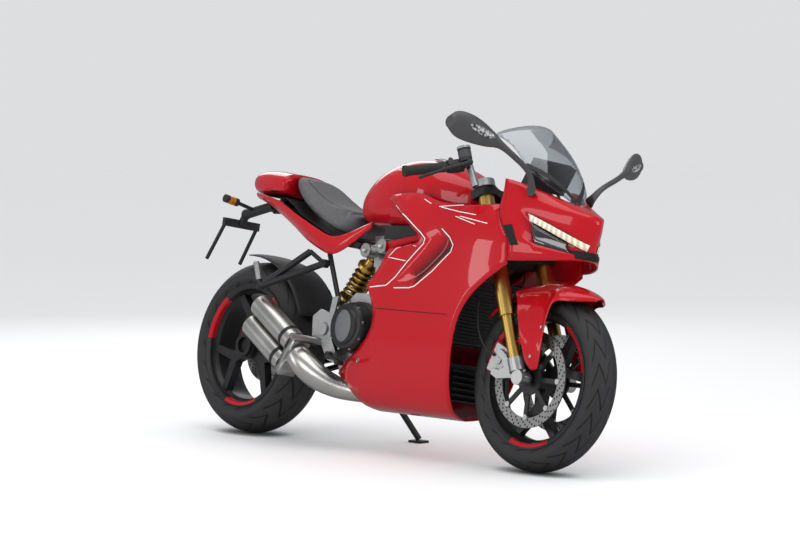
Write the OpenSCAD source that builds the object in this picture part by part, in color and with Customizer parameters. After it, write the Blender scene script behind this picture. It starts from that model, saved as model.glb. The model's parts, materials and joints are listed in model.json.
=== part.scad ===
// Sport motorcycle with a full fairing, parked on its side stand.
// Every module draws its part on the upright bike: x forward, y to the left, z up, ground at z = 0.

/* [Chassis] */
// lean of the parked bike to its left, degrees
lean = 10; // [9:0.5:11]
// swingarm pivot to rear axle, along the ground
swingarm_length = 507; // [495:1:520]
// steering axis from the vertical, degrees
rake = 24; // [23.5:0.25:24.5]
// ground distance from the steering axis to below the front axle
trail = 91; // [87:1:95]
// fork legs ahead of the steering axis
fork_offset = 28; // [26:1:30]
// centre of each fork leg from the middle plane
fork_half_span = 107; // [106:0.5:109]
// frame tube radius
frame_tube_r = 16; // [14:0.5:18]

/* [Wheels and tyres] */
// front tyre radius
front_r = 300; // [296:1:302]
// front tyre width
front_w = 120; // [112:1:122]
// rear tyre radius
rear_r = 315; // [308:1:318]
// rear tyre width
rear_w = 180; // [170:1:182]
// rim flange radius of both wheels
flange_r = 229; // [226:0.5:230]
// width of the front rim over its flanges
front_rim_w = 103; // [98:1:106]
// width of the rear rim over its flanges
rear_rim_w = 156; // [150:1:160]
// front spoke thickness
front_spoke_t = 26; // [22:1:30]
// rear spoke thickness
rear_spoke_t = 32; // [26:1:36]

/* [Axles and bearings] */
// front axle radius
front_axle_r = 12.5; // [11:0.5:14]
// rear axle radius
rear_axle_r = 20; // [17:0.5:22]
// steering stem radius
stem_r = 15; // [13:0.5:17]
// side stand pivot bolt radius
stand_bolt_r = 7; // [5:0.5:8]
// radial clearance of every turning pin
run_gap = 0.05; // [0.02:0.01:0.09]

/* [Brakes] */
// front disc radius
front_disc_r = 160; // [155:1:162]
// rear disc radius
rear_disc_r = 122; // [116:1:124]
// disc thickness
disc_t = 5; // [4:0.5:6]
// front disc from the middle plane
front_disc_y = 65; // [63:0.5:66]

/* [Fork and bars] */
// fork outer tube radius
fork_outer_r = 27; // [25:0.5:28]
// fork slider radius
slider_r = 21.5; // [20:0.5:23]
// handlebar tube radius
bar_r = 11; // [10:0.5:12]
// grip radius
grip_r = 17; // [15:0.5:18]

/* [Drive and exhaust] */
// chain line from the middle plane
chain_y = 137; // [135:0.5:139]
// sprocket thickness
sprocket_t = 6; // [5:0.5:7]
// silencer can radius
can_r = 43; // [40:1:45]
// silencer can length
can_length = 246; // [225:1:260]

/* [Bodywork] */
// fairing panel thickness
panel_t = 4; // [3:0.5:5]
// windscreen thickness
screen_t = 4; // [3:0.5:5]
// side stand leg radius
stand_leg_r = 11; // [9:0.5:12]

/* [Hidden] */
$fn = 48;
fit = 0.3;
pivot_x = -232;
pivot_z = 397;
rear_x = pivot_x - swingarm_length;
rear_z = rear_r;
front_x = 739;
front_crown = 65;
rear_crown = 105;
// both tyres touch the ground of the leaning bike
front_z = front_r + (front_crown - rear_crown) * (1 / cos(lean) - 1);
ground_lift = rear_crown * (1 - cos(lean));
// middle of the leaning bike, from tyre to tyre and from mirror to mirror
middle_x = (rear_x - rear_r + front_x + front_r) / 2;
middle_y = 187;
axle_lead = front_z * sin(rake) - trail * cos(rake) - fork_offset;
axle_s = trail * sin(rake) + front_z * cos(rake);
// heights along the steering axis
lower_clamp_s = 735;
upper_clamp_s = 957;
clamp_t = 30;
fork_top_s = 1000;
slider_top_s = 530;

RED = [0.75, 0.02, 0.05];
BLACK = [0.05, 0.05, 0.055];
SILVER = [0.7, 0.7, 0.68];
GOLD = [0.75, 0.55, 0.15];
GREY = [0.25, 0.26, 0.28];

// shape helpers

function mix(a, b, t) = a + (b - a) * t;
function polar(r, a) = [r * cos(a), r * sin(a)];
function curve(p0, p1, p2, p3, t) =
  0.5 * (2 * p1 + (p2 - p0) * t + (2 * p0 - 5 * p1 + 4 * p2 - p3) * t * t
    + (3 * p1 - p0 - 3 * p2 + p3) * t * t * t);
function row_at(rows, u) =
  let (last = len(rows) - 1, i = min(floor(u), last - 1))
  curve(rows[max(i - 1, 0)], rows[i], rows[i + 1], rows[min(i + 2, last)], u - i);
function refine(rows, steps) =
  [for (k = [0 : (len(rows) - 1) * steps]) row_at(rows, k / steps)];
function mirrored(rows) = [for (p = rows) [p.x, -p.y, p.z]];

// solid through closed rings of points, ring after ring along the part
module loft(rings) {
  n = len(rings[0]);
  m = len(rings);
  sides = [for (i = [0 : m - 2], j = [0 : n - 1])
    let (a = i * n + j, b = i * n + (j + 1) % n)
    each [[a, b + n, b], [a, a + n, b + n]]];
  start = [for (j = [0 : n - 1]) j];
  end = [for (j = [n - 1 : -1 : 0]) (m - 1) * n + j];
  polyhedron([for (r = rings) each r], concat(sides, [start, end]));
}

function facing(grid, i, j) =
  let (m = len(grid) - 1, n = len(grid[0]) - 1,
    du = grid[min(i + 1, m)][j] - grid[max(i - 1, 0)][j],
    dv = grid[i][min(j + 1, n)] - grid[i][max(j - 1, 0)],
    c = cross(du, dv))
  c / norm(c);

// panel of even thickness behind a grid of points on its outer face
module panel(grid, t) {
  m = len(grid);
  n = len(grid[0]);
  count = m * n;
  back = [for (i = [0 : m - 1], j = [0 : n - 1]) grid[i][j] - facing(grid, i, j) * t];
  cells = [for (i = [0 : m - 2], j = [0 : n - 2])
    let (a = i * n + j, b = a + 1, c = a + n, d = c + 1)
    each [[a, b, d], [a, d, c], [a + count, d + count, b + count], [a + count, c + count, d + count]]];
  rim = concat([for (j = [0 : n - 1]) j], [for (i = [1 : m - 1]) i * n + n - 1],
    [for (j = [n - 2 : -1 : 0]) (m - 1) * n + j], [for (i = [m - 2 : -1 : 1]) i * n]);
  walls = [for (k = [0 : len(rim) - 1])
    let (a = rim[k], b = rim[(k + 1) % len(rim)])
    each [[b, a, a + count], [b, a + count, b + count]]];
  polyhedron(concat([for (r = grid) each r], back), concat(cells, walls));
}

// round cord or tube of varying radius along a path of [x, y, z, radius]
module sweep(path, sides) {
  m = len(path) - 1;
  function place(i) = [path[i][0], path[i][1], path[i][2]];
  function along(i) =
    let (d = place(min(i + 1, m)) - place(max(i - 1, 0)))
    d / norm(d);
  rings = [for (i = [0 : m])
    let (d = along(i), u0 = cross(d, [0.12, 0.99, 0.07]), u = u0 / norm(u0), v = cross(d, u))
    [for (k = [0 : sides - 1]) place(i) + path[i][3] * (u * cos(360 * k / sides)
      + v * sin(360 * k / sides))]];
  loft(rings);
}

module rod(a, b, r) {
  d = b - a;
  translate(a)
    rotate([0, acos(d.z / norm(d)), atan2(d.y, d.x)])
      cylinder(r = r, h = norm(d));
}

module both_sides() {
  children();
  mirror([0, 1, 0])
    children();
}

// local z runs up the steering axis, local x ahead of it
module on_steering_axis() {
  translate([front_x + trail, 0, 0])
    rotate([0, -rake, 0])
      children();
}

// local z runs along an axle to the left, local y down
module on_axle(x, z) {
  translate([x, 0, z])
    rotate([-90, 0, 0])
      children();
}

// profile in x and z pushed out from y0 to y1
module side_slab(points, y0, y1) {
  translate([0, y1, 0])
    rotate([90, 0, 0])
      linear_extrude(y1 - y0)
        polygon(points);
}

// outline of the side fairing

// height, rear edge, rear louvre edge, front louvre edge, front edge
edge_rows = [
  [136, -40, 60, 200, 392], [146, -58, 60, 210, 410], [172, -66, 60, 210, 432], [249, -150, 20, 220, 440],
  [300, -96, 50, 225, 448], [374, 36, 130, 250, 456], [460, 66, 140, 260, 474], [515, 37, 120, 250, 505],
  [561, 8, 60, 200, 546], [580, 20, 128, 268, 570], [620, 46, 176, 320, 618], [660, 72, 220, 371, 680],
  [690, 92, 250, 409, 675.5], [706, 225, 266, 417, 673], [722, 246, 282, 422, 670.5], [744, 234, 270,
    386, 667.5],
  [768, 196, 228, 340, 646], [800, 130, 158, 312, 622]];
// height, half width
width_rows = [
  [136, 0.9], [146, 62], [172, 112], [249, 146], [300, 158], [374, 172], [460, 182], [515, 187], [580, 192],
  [660, 196], [722, 197], [768, 194], [800, 190], [850, 178], [893, 164]];
// height, depth of the rear and front louvre steps
step_rows = [
  [561, 0, 0], [580, 10, 12], [620, 18, 24], [722, 20, 24], [744, 16, 14], [768, 10, 0], [800, 6, 0],
    [850, 2, 0]];
// x, top edge height
top_rows = [[33, 862], [101, 890], [179, 890], [255, 878], [300, 856], [458, 847], [600, 858]];
lip = 16;
// gap between neighbouring panels
seam = 2;

function column(rows, c, z) = lookup(z, [for (r = rows) [r[0], r[c]]]);
function side_half(x, z) =
  column(width_rows, 1, z) * (1 - 0.10 * pow(max(0, x - 480) / 220, 2) - 0.10 * pow(max(0,
    180 - x) / 250, 2));
function side_point(x, z, depth) = [x, side_half(x, z) - depth, z];
function side_row(z) =
  let (rear = column(edge_rows, 1, z), h1 = column(edge_rows, 2, z), h2 = column(edge_rows, 3, z),
    front = column(edge_rows, 4, z), d1 = column(step_rows, 1, z), d2 = column(step_rows, 2, z),
    inner = z > 700 ? lip : d1)
  concat(
    [side_point(rear, z, inner), side_point(mix(rear, h1, 0.5) - 4, z, mix(inner, d1, 0.5)),
      side_point(h1 - 8, z, d1), side_point(h1, z, 0), side_point(mix(h1, h2, 0.5), z, d2 * 0.45),
      side_point(h2 - 9, z, d2), side_point(h2, z, 0)],
    [for (k = [1 : 5]) side_point(mix(h2, front, k / 5), z, 0)]);
function top_row(t) =
  let (low = edge_rows[len(edge_rows) - 1], end = len(top_rows) - 1)
  [for (p = side_row(low[0]))
    let (x = mix(p.x, mix(top_rows[0][0], top_rows[end][0], (p.x - low[1]) / (low[4] - low[1])), t),
      z = mix(low[0], column(top_rows, 1, x), t))
    [x, p.y + side_half(x, z) - side_half(p.x, low[0]), z]];
// front edge over its height
front_edge = concat([for (r = edge_rows) [r[0], r[4]]], [[858, 600]]);
side_grid = concat([for (r = edge_rows) side_row(r[0])], [top_row(0.5), top_row(1)]);

// frame and engine

head_top = [front_x + trail - 905 * sin(rake), 0, 905 * cos(rake)];
head_low = [front_x + trail - 812 * sin(rake), 0, 812 * cos(rake)];
case_half = 104;
head_half = 78;
lug_y = 126;
lug_half = frame_tube_r + 5;
subframe_lug = [-106, lug_y, 694];
rear_lug = [-62, lug_y, 682];
front_lug = [19, lug_y, 700];
// the lower lug stands opposite a point of the side fairing and carries it
stay_row = 7;
stay_column = 6;
cylinder_lug = [side_grid[stay_row][stay_column].x, lug_y, side_grid[stay_row][stay_column].z];
low_boss = 24;
head_tube_r = 33;
head_gap = 6;

module frame() {
  joint = mix(head_top, front_lug, 0.55);
  stay_end = side_grid[stay_row][stay_column].y - panel_t - 1;
  color(RED)
    difference() {
      union() {
        on_steering_axis()
          translate([0, 0, lower_clamp_s + clamp_t + head_gap])
            cylinder(r = head_tube_r, h = upper_clamp_s - lower_clamp_s - clamp_t - 2 * head_gap);
        both_sides() {
          rod(head_top, front_lug, frame_tube_r);
          rod(head_low, cylinder_lug, frame_tube_r);
          rod(joint, cylinder_lug, frame_tube_r * 0.8);
          rod(joint, head_low, frame_tube_r * 0.8);
          rod(front_lug, rear_lug, frame_tube_r);
          for (p = [front_lug, rear_lug, cylinder_lug])
            translate([p.x, p.y - lug_half, p.z])
              rotate([-90, 0, 0])
                cylinder(r = 25, h = 2 * lug_half);
          rod(cylinder_lug, [cylinder_lug.x, stay_end, cylinder_lug.z], 9);
        }
      }
      on_steering_axis()
        translate([0, 0, lower_clamp_s])
          cylinder(r = stem_r + run_gap, h = upper_clamp_s - lower_clamp_s);
    }
}

module subframe() {
  tube = 11;
  bend = [-340, 100, 742];
  tail = [-640, 52, 842];
  low = [-192, 118, 486];
  color(BLACK)
    both_sides() {
      rod(subframe_lug, bend, tube);
      rod(bend, tail, tube - 1);
      rod(low, bend, tube - 2);
      for (p = [bend, tail])
        translate(p)
          sphere(r = tube + 2);
      translate([low.x, case_half + fit, low.z])
        rotate([-90, 0, 0])
          cylinder(r = 17, h = low_boss);
      translate([subframe_lug.x, lug_y - lug_half, subframe_lug.z])
        rotate([-90, 0, 0])
          cylinder(r = 17, h = 16);
      rod([bend.x, -1, bend.z], bend, tube - 3);
      rod([tail.x, -1, tail.z], tail, tube - 3);
      rod([tail.x, 30, tail.z], [tail.x, 30, tray_z(tail.x) + 7.4], 9);
    }
}

module engine() {
  boss_from = head_half - 8;
  boss_end = lug_y - lug_half - fit;
  color(SILVER)
    union() {
      side_slab([[-182, 300], [-188, 452], [-172, 498], [-128, 535], [60, 535], [165, 470], [198, 380],
        [170, 270], [60, 240], [-130, 240], [-168, 258]], -case_half, case_half);
      // upright cylinder with its head
      translate([4, 0, 535])
        rotate([0, -6, 0]) {
          translate([-68, -head_half, -40])
            cube([136, 2 * head_half, 170]);
          translate([-78, -head_half, 105])
            cube([160, 2 * head_half, 108]);
        }
      // lying cylinder with its head
      translate([150, 0, 388])
        rotate([0, 68, 0]) {
          translate([-80, -head_half, -20])
            cube([150, 2 * head_half, 130]);
          translate([-88, -head_half, 100])
            cube([170, 2 * head_half, 100]);
        }
      both_sides()
        for (p = [front_lug, rear_lug, subframe_lug, cylinder_lug])
          translate([p.x, boss_from, p.z])
            rotate([-90, 0, 0])
              cylinder(r = 12, h = boss_end - boss_from);
      // upper lug of the shock absorber
      translate([shock_high.x + shock_eye_r + fit, shock_high.y - 17, shock_high.z - 13])
        cube([30, 34, 26]);
      // front boss for the oil cooler
      translate([140, -22, 246])
        cube([46, 44, 40]);
      // gearbox sprocket and its shaft
      translate([sprocket_x, case_half - 1, sprocket_z])
        rotate([-90, 0, 0]) {
          cylinder(r = 18, h = chain_y - case_half);
          translate([0, 0, chain_y - case_half + 1 - sprocket_t / 2])
            cylinder(r = small_sprocket_r - chain_pin_r - fit, h = sprocket_t);
        }
      // bracket and bolt of the side stand
      side_slab([[-206, 226], [-206, 262], [-176, 300], [-120, 300], [-120, 250], [-170, 226]], 84, 100);
      stand_axis()
        translate([0, 0, -34])
          cylinder(r = stand_bolt_r, h = 52);
    }
}

clutch_at = [-84, -case_half - fit, 412];
module clutch_cover() {
  color(BLACK)
    translate(clutch_at)
      rotate([90, 0, 0])
        rotate_extrude()
          polygon([[0, 0], [92, 0], [92, 20], [88, 30], [84, 60], [77, 70], [64, 72], [60, 78], [0, 80]]);
}

module alternator_cover() {
  color(BLACK)
    translate([70, case_half + fit, 404])
      rotate([-90, 0, 0])
        rotate_extrude()
          polygon([[0, 0], [86, 0], [86, 12], [80, 20], [72, 32], [54, 38], [0, 40]]);
}

module radiator() {
  tilt = 13;
  half = 148;
  color(BLACK)
    translate([418, 0, 502])
      rotate([0, tilt, 0]) {
        translate([-14, -half, -112])
          cube([24, 2 * half, 224]);
        both_sides()
          translate([-20, half - 26, -116])
            cube([34, 26, 232]);
        for (k = [0 : 17])
          translate([9, -half + 20, -104 + 12 * k])
            cube([5, 2 * half - 40, 3]);
        both_sides()
          translate([-90, 58, -30])
            cube([80, 20, 14]);
      }
}

module oil_cooler() {
  color(BLACK)
    translate([392, 0, 262]) {
      translate([-22, -110, -62])
        cube([24, 220, 124]);
      for (k = [0 : 5])
        translate([0, -104, -54 + 20 * k])
          rotate([0, 24, 0])
            cube([24, 208, 4]);
      translate([186 + fit - 392, -18, -14])
        cube([392 - 186 - fit - 10, 36, 34]);
    }
}

// exhaust

can_front = [-322, -184, 332];
can_rise = 30;
can_drop = 84;
module exhaust_pipe() {
  path = refine([[34, -45, 236.4, 25], [33, -45, 214, 26], [4, -48, 192, 28], [-40, -52, 187, 30],
    [-95, -62, 190, 33], [-160, -106, 198, 39], [-225, -154, 228, 47], [-276, -178, 268, 49], [-312,
      -184, 300, 44]], 2);
  color(SILVER) {
    sweep(path, 16);
    // junction of both cans
    translate(can_front)
      rotate([0, -90 + can_rise, 0])
        translate([-can_drop - 34, -34, -24])
          cube([can_drop + 68, 74, 24 + 8 - fit]);
  }
}

module silencer() {
  wall = 3;
  color(SILVER)
    translate(can_front)
      rotate([0, -90 + can_rise, 0])
        for (k = [0, 1])
          translate([-can_drop * k, 6 * k, 8])
            difference() {
              union() {
                cylinder(r = can_r, h = can_length);
                translate([0, 0, can_length])
                  cylinder(r = can_r - 6, h = 5);
              }
              translate([0, 0, can_length - 40])
                cylinder(r = can_r - 14, h = 60);
              translate([0, 0, can_length + wall])
                cylinder(r = can_r - 10, h = 60);
            }
}

// rear suspension and drive

arm_y0 = 97;
arm_y1 = 121;
hub_in_y = 62;
module swingarm() {
  hub_r = 66;
  color(BLACK)
    difference() {
      union() {
        side_slab([[pivot_x + 34, pivot_z - 44], [pivot_x + 34, pivot_z + 44], [pivot_x - 60, pivot_z + 26],
          [mix(pivot_x, rear_x, 0.6), pivot_z - 2], [rear_x + 20, rear_z + 62], [rear_x - 30, rear_z + 52],
          [rear_x - 62, rear_z], [rear_x - 30, rear_z - 52], [rear_x + 30, rear_z - 58],
          [mix(pivot_x, rear_x, 0.62), pivot_z - 120], [pivot_x - 60, pivot_z - 74]], arm_y0, arm_y1);
        on_axle(rear_x, rear_z)
          translate([0, 0, hub_in_y])
            cylinder(r = hub_r, h = arm_y1 - hub_in_y + 1);
        on_axle(pivot_x, pivot_z)
          translate([0, 0, -case_half])
            cylinder(r = 30, h = case_half + arm_y1);
        side_slab([[pivot_x - 20, pivot_z], [pivot_x - 6, pivot_z + 28], [shock_low.x + 14,
          shock_low.z - shock_eye_r - fit],
          [shock_low.x - 14, shock_low.z - shock_eye_r - fit], [pivot_x - 60, pivot_z]],
            shock_low.y - 22, shock_low.y + 22);
      }
      on_axle(rear_x, rear_z)
        cylinder(r = rear_axle_r + run_gap, h = 200);
    }
}

shock_low = [-258, -44, 478];
shock_high = [-124, -44, 668];
shock_eye_r = 16;
module shock_absorber() {
  d = shock_high - shock_low;
  length = norm(d);
  turns = 5.5;
  rod_r = 8;
  coil_r = 33;
  wire = 6;
  steps = 11;
  seat_end = 52;
  coil_from = seat_end + wire + fit;
  coil = [for (k = [0 : turns * steps])
    let (a = 360 * k / steps, z = mix(coil_from, length - coil_from, k / (turns * steps)))
    [for (j = [5 : -1 : 0])
      let (r = coil_r + wire * cos(60 * j))
      [r * cos(a), r * sin(a), z + wire * sin(60 * j)]]];
  translate(shock_low)
    rotate([0, acos(d.z / length), atan2(d.y, d.x)])
      color(GOLD) {
        cylinder(r = rod_r, h = length);
        translate([0, 0, seat_end - 12])
          cylinder(r = 40, h = 12);
        translate([0, 0, length - seat_end])
          cylinder(r = 40, h = 12);
        translate([0, 0, length * 0.45])
          cylinder(r = 23, h = length * 0.5);
        for (z = [0, length])
          translate([0, 0, z])
            rotate([90, 0, 0])
              cylinder(r = shock_eye_r, h = 34, center = true);
        loft(coil);
      }
}

sprocket_x = -150;
sprocket_z = 403;
chain_pitch = 15.875;
chain_pin_r = 5;
small_teeth = 15;
big_teeth = 43;
small_sprocket_r = chain_pitch / (2 * sin(180 / small_teeth));
big_sprocket_r = chain_pitch / (2 * sin(180 / big_teeth));
// outline of a belt around both sprockets, grown by g
function belt(g) =
  let (a = [sprocket_x, sprocket_z], b = [rear_x, rear_z], d = b - a,
    way = atan2(d.y, d.x), open = acos((small_sprocket_r - big_sprocket_r) / norm(d)),
    s = small_sprocket_r + g, r = big_sprocket_r + g)
  concat([for (k = [0 : 12]) a + polar(s, way + open + (360 - 2 * open) * k / 12)],
    [for (k = [0 : 24]) b + polar(r, way - open + 2 * open * k / 24)]);

module chain() {
  half = 7.4;
  plate_t = 3;
  inner = sprocket_t / 2 + 5.4;
  a = [sprocket_x, sprocket_z];
  b = [rear_x, rear_z];
  way = atan2(b.y - a.y, b.x - a.x);
  open = acos((small_sprocket_r - big_sprocket_r) / norm(b - a));
  color(BLACK) {
    for (y = [chain_y - inner - plate_t, chain_y + inner])
      translate([0, y + plate_t, 0])
        rotate([90, 0, 0])
          linear_extrude(plate_t)
            difference() {
              polygon(belt(half));
              polygon(belt(-half));
            }
    for (side = [-1, 1], k = [0 : 11]) {
      p = mix(a + polar(small_sprocket_r, way + side * open), b + polar(big_sprocket_r, way + side * open),
        0.12 + 0.055 * k);
      translate([p.x, chain_y - inner - plate_t, p.y])
        rotate([-90, 0, 0])
          cylinder(r = chain_pin_r, h = 2 * (inner + plate_t));
    }
    for (k = [0 : 4]) {
      p = a + polar(small_sprocket_r, way + open + (360 - 2 * open) * k / 4);
      translate([p.x, chain_y - inner - plate_t, p.y])
        rotate([-90, 0, 0])
          cylinder(r = chain_pin_r, h = 2 * (inner + plate_t));
    }
  }
}

module rear_hugger() {
  reach = rear_r + 14;
  half = rear_w / 2 + 6;
  grid = [for (a = [22 : 12 : 94])
    [for (k = [-3 : 3])
      let (t = abs(k) / 3, r = reach + 12 - 12 * t * t)
      [rear_x + r * cos(a), half * k / 3, rear_z + r * sin(a)]]];
  color(BLACK) {
    panel(grid, 3);
    rod([rear_x + (reach - 2) * cos(46), half - 3, rear_z + (reach - 2) * sin(46)],
      [rear_x + 250, arm_y0 + 6, pivot_z + 4.2], 6);
  }
}

caliper_slot = disc_t + 11;
module rear_caliper() {
  color(SILVER)
    on_axle(rear_x, rear_z)
      rotate([0, 0, 28])
        difference() {
          union() {
            translate([84, -38, rear_disc_y - 28])
              cube([58, 76, 50]);
            translate([60, -16, rear_disc_y + 18])
              cube([40, 32, hub_in_y - fit - rear_disc_y - 18]);
          }
          translate([0, -60, rear_disc_y - caliper_slot / 2])
            cube([rear_disc_r + 6, 120, caliper_slot]);
        }
}

// rider's and passenger's footrests

plate_t = 13;
footrest_right_y = case_half + low_boss + 1;
// from the middle of the chain to the left footrest plate
chain_to_plate = 15;
footrest_left_y = chain_y + chain_to_plate;

// footrest plate on bosses, drawn on the left with its inner face at y0
module footrest(y0) {
  plate = [[-300, 440], [-262, 466], [-214, 452], [-206, 512], [-176, 516], [-190, 440], [-192, 372],
    [-156, 322],
    [-158, 282], [-196, 292], [-236, 342], [-288, 336]];
  side_slab(plate, y0, y0 + plate_t);
  translate([pivot_x, arm_y1 + fit, pivot_z])
    rotate([-90, 0, 0])
      cylinder(r = 22, h = y0 + plate_t + 8 - arm_y1 - fit);
  translate([-186, case_half + low_boss + 2 * fit, 480])
    rotate([-90, 0, 0])
      cylinder(r = 10, h = y0 - case_half - low_boss - 2 * fit + 1);
  rod([-246, y0 + 4, 352], [-272, y0 + 126, 357], 11);
  rod([-172, y0 + 4, 306], [-172, y0 + plate_t + 8, 306], 14);
}
module footrest_right() {
  color(SILVER)
    mirror([0, 1, 0])
      footrest(footrest_right_y);
}
module footrest_left() {
  color(SILVER)
    footrest(footrest_left_y);
}

module brake_pedal() {
  y = footrest_right_y + plate_t + 8 + fit;
  color(BLACK) {
    rod([-172, -y, 306], [-172, -y - 14, 306], 14);
    rod([-172, -y - 8, 306], [-72, -y - 26, 282], 7);
    rod([-72, -y - 26, 282], [-64, -y - 62, 282], 8);
  }
}

module shift_lever() {
  y = footrest_left_y + plate_t + 8 + fit;
  color(BLACK) {
    rod([-172, y, 306], [-172, y + 14, 306], 14);
    rod([-172, y + 8, 306], [-66, y + 12, 330], 7);
    rod([-66, y + 12, 330], [-60, y + 50, 330], 8);
  }
}

module passenger_hangers() {
  foot = [-512, 226, 524];
  high = [-376, 128, 668];
  low = [-290, 131, 628];
  color(BLACK)
    both_sides() {
      rod(high, foot, 12);
      rod(low, foot, 12);
      rod(high, low, 8);
      translate([low.x, 117.2, low.z])
        rotate([-90, 0, 0])
          cylinder(r = 15, h = 22);
      rod(foot, [-538, 238, 610], 10);
      translate(foot)
        sphere(r = 15);
    }
}

// tank, seat and tail

// ring of a body section: half width, bottom and top height, squareness of its corners
function body_ring(x, half, low, high, square, n) =
  [for (k = [0 : n - 1])
    let (a = 360 * (k + 0.5) / n, c = cos(a), s = sin(a))
    [x, half * sign(c) * pow(abs(c), square), mix(low, high,
      0.5) + (high - low) / 2 * sign(s) * pow(abs(s), square)]];

// x, half width, bottom, top
tank_rows = [
  [-206, 52, 799, 858], [-186, 78, 787, 896], [-140, 98, 775, 946], [-66, 122, 771, 987], [20, 138, 771,
    1012],
  [110, 146, 771, 1019], [200, 140, 774, 1008], [280, 116, 788.4, 982], [342, 90, 810, 952], [367, 66,
    836, 924]];
module fuel_tank() {
  rings = [for (r = refine(tank_rows, 2)) body_ring(r[0], r[1], r[2], r[3], 0.72, 24)];
  color(RED)
    loft(rings);
}

module filler_cap() {
  color(SILVER)
    translate([150, 0, 1013.6])
      rotate([0, 6, 0])
        rotate_extrude()
          polygon([[0, 2], [52, 2], [52, 6], [46, 10], [44, 8], [30, 8], [28, 11], [0, 11]]);
}

seat_rows = [
  [-600, 40, 918, 950], [-560, 78, 894, 946], [-510, 104, 862, 922], [-440, 126, 824, 876], [-370, 138,
    790, 842],
  [-300, 138, 756, 824], [-246, 122, 732, 816], [-216, 92, 744, 812], [-206, 70, 756, 806]];
module seat() {
  rings = [for (r = refine(seat_rows, 2)) body_ring(r[0], r[1], r[2], r[3], 0.62, 20)];
  color(GREY)
    loft(rings);
}

cowl_rows = [
  [-866, 26, 906, 938], [-846, 48, 890, 952], [-800, 70, 874, 967], [-720, 92, 868, 968], [-650, 106,
    866, 962],
  [-600.3, 112, 868, 956]];
module seat_cowl() {
  rings = [for (r = refine(cowl_rows, 2)) body_ring(r[0], r[1], r[2], r[3], 0.7, 20)];
  color(RED)
    loft(rings);
}

// x, y at the top, top height, y at the foot, foot height
tail_rows = [
  [-812, 56, 884, 44, 862], [-700, 98, 866, 76, 836], [-600, 116, 846, 92, 796], [-500, 132, 808, 108, 752],
  [-420, 142, 780, 124, 714], [-330, 147, 748, 138, 682], [-240, 147, 722, 140, 658], [-150, 140, 748,
    138, 700],
  [-60, 128, 786, 128, 764]];
function tail_point(r, t) = [r[0], mix(r[1], r[3], t) + 8 * sin(180 * t), mix(r[2], r[4], t)];
module tail_panel() {
  rows = refine(tail_rows, 2);
  grid = [for (r = rows)
    [for (k = [0 : 4]) tail_point(r, k / 4)]];
  panel(grid, panel_t);
}
module tail_panel_left() {
  color(RED)
    tail_panel();
}
module tail_panel_right() {
  color(RED)
    mirror([0, 1, 0])
      tail_panel();
}

// tray between the tail panels
tray_share = 0.75;
tray_t = 4;
function tray_z(x) = lookup(x, [for (r = tail_rows) [r[0], mix(r[2], r[4], tray_share)]]);
module undertail() {
  rows = concat([for (k = [0 : 4]) tail_rows[k]], [mix(tail_rows[4], tail_rows[5], 0.75)]);
  grid = [for (r = rows)
    let (y = tail_point(r, tray_share).y - panel_t - 4.2)
    [for (k = [-2 : 2]) [r[0], -y * k / 2, tray_z(r[0])]]];
  color(BLACK)
    panel(grid, tray_t);
}

module plate_holder() {
  color(BLACK) {
    rod([-775, 0, tray_z(-775) - tray_t - 13], [-930, 0, 806], 18);
    translate([-962, -84, 752])
      cube([16, 168, 30]);
    translate([-930, 0, 806])
      sphere(r = 20);
    rod([-930, 0, 806], [-954, 0, 764], 15);
    both_sides() {
      rod([-954, 76, 762], [-1032, 80, 624], 7);
      rod([-880, 4, 822], [-880, 92, 838], 7);
      rod([-880, 90, 838], [-880, 150, 846], 15);
    }
  }
}

// side fairing

module side_fairing() {
  panel(side_grid, panel_t);
}
module fairing_left() {
  color(RED)
    side_fairing();
}
module fairing_right() {
  color(RED)
    mirror([0, 1, 0])
      side_fairing();
}

// nose, lamps and screen

// nose x and height on the middle line, height where the row meets the side fairing, lamp pocket depth
nose_rows = [
  [794, 884, 944, 0], [856, 864, 910, 0], [906, 838, 884, 0], [904, 792, 872, 0], [894, 746, 860, 0],
  [888, 724, 840, 14], [887, 719, 795, 14], [886, 714, 750, 14], [888, 708, 742, 0], [882, 698, 672, 0]];
nose_blunt = 1.5;
nose_cells = 10;
pocket_from = 0.28;
pocket_to = 0.82;
// point of a nose row at a share of its half width, set back by depth
function nose_point(r, share, depth) =
  let (end_x = lookup(r[2], front_edge) + seam,
    end_y = side_half(end_x, min(r[2], 893)),
    along = pow(1 - pow(share, nose_blunt), 1 / nose_blunt))
  [end_x + (r[0] - end_x) * along - depth, end_y * share - depth * share, mix(r[1], r[2], pow(share, 1.6))];
function nose_share(k) = 1 - pow(1 - abs(k) / nose_cells, 1.4);
function nose_row(r) =
  [for (k = [-nose_cells : nose_cells])
    let (share = nose_share(k), deep = share > pocket_from && share < pocket_to ? r[3] : 0,
      p = nose_point(r, share, deep))
    [p.x, sign(k) * p.y, p.z]];
module nose_fairing() {
  color(RED)
    panel([for (r = nose_rows) nose_row(r)], panel_t);
}

function lamp_row(r, from, to, depth) =
  [for (k = [0 : 8]) nose_point(r, mix(from, to, k / 8), depth)];
module headlamp_lenses() {
  color(GREY)
    both_sides()
      panel([lamp_row(nose_rows[5], 0.4, 0.8, 6), lamp_row(nose_rows[6], 0.4, 0.8, 4),
        lamp_row(mix(nose_rows[7], nose_rows[8], 0.5), 0.4, 0.8, 0)], 3);
}
module running_lamps() {
  color([1, 0.98, 0.85])
    both_sides()
      panel([lamp_row(nose_rows[4], 0.12, 0.84, -4), lamp_row(nose_rows[5], 0.14, 0.82, -4)], 3);
}

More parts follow.
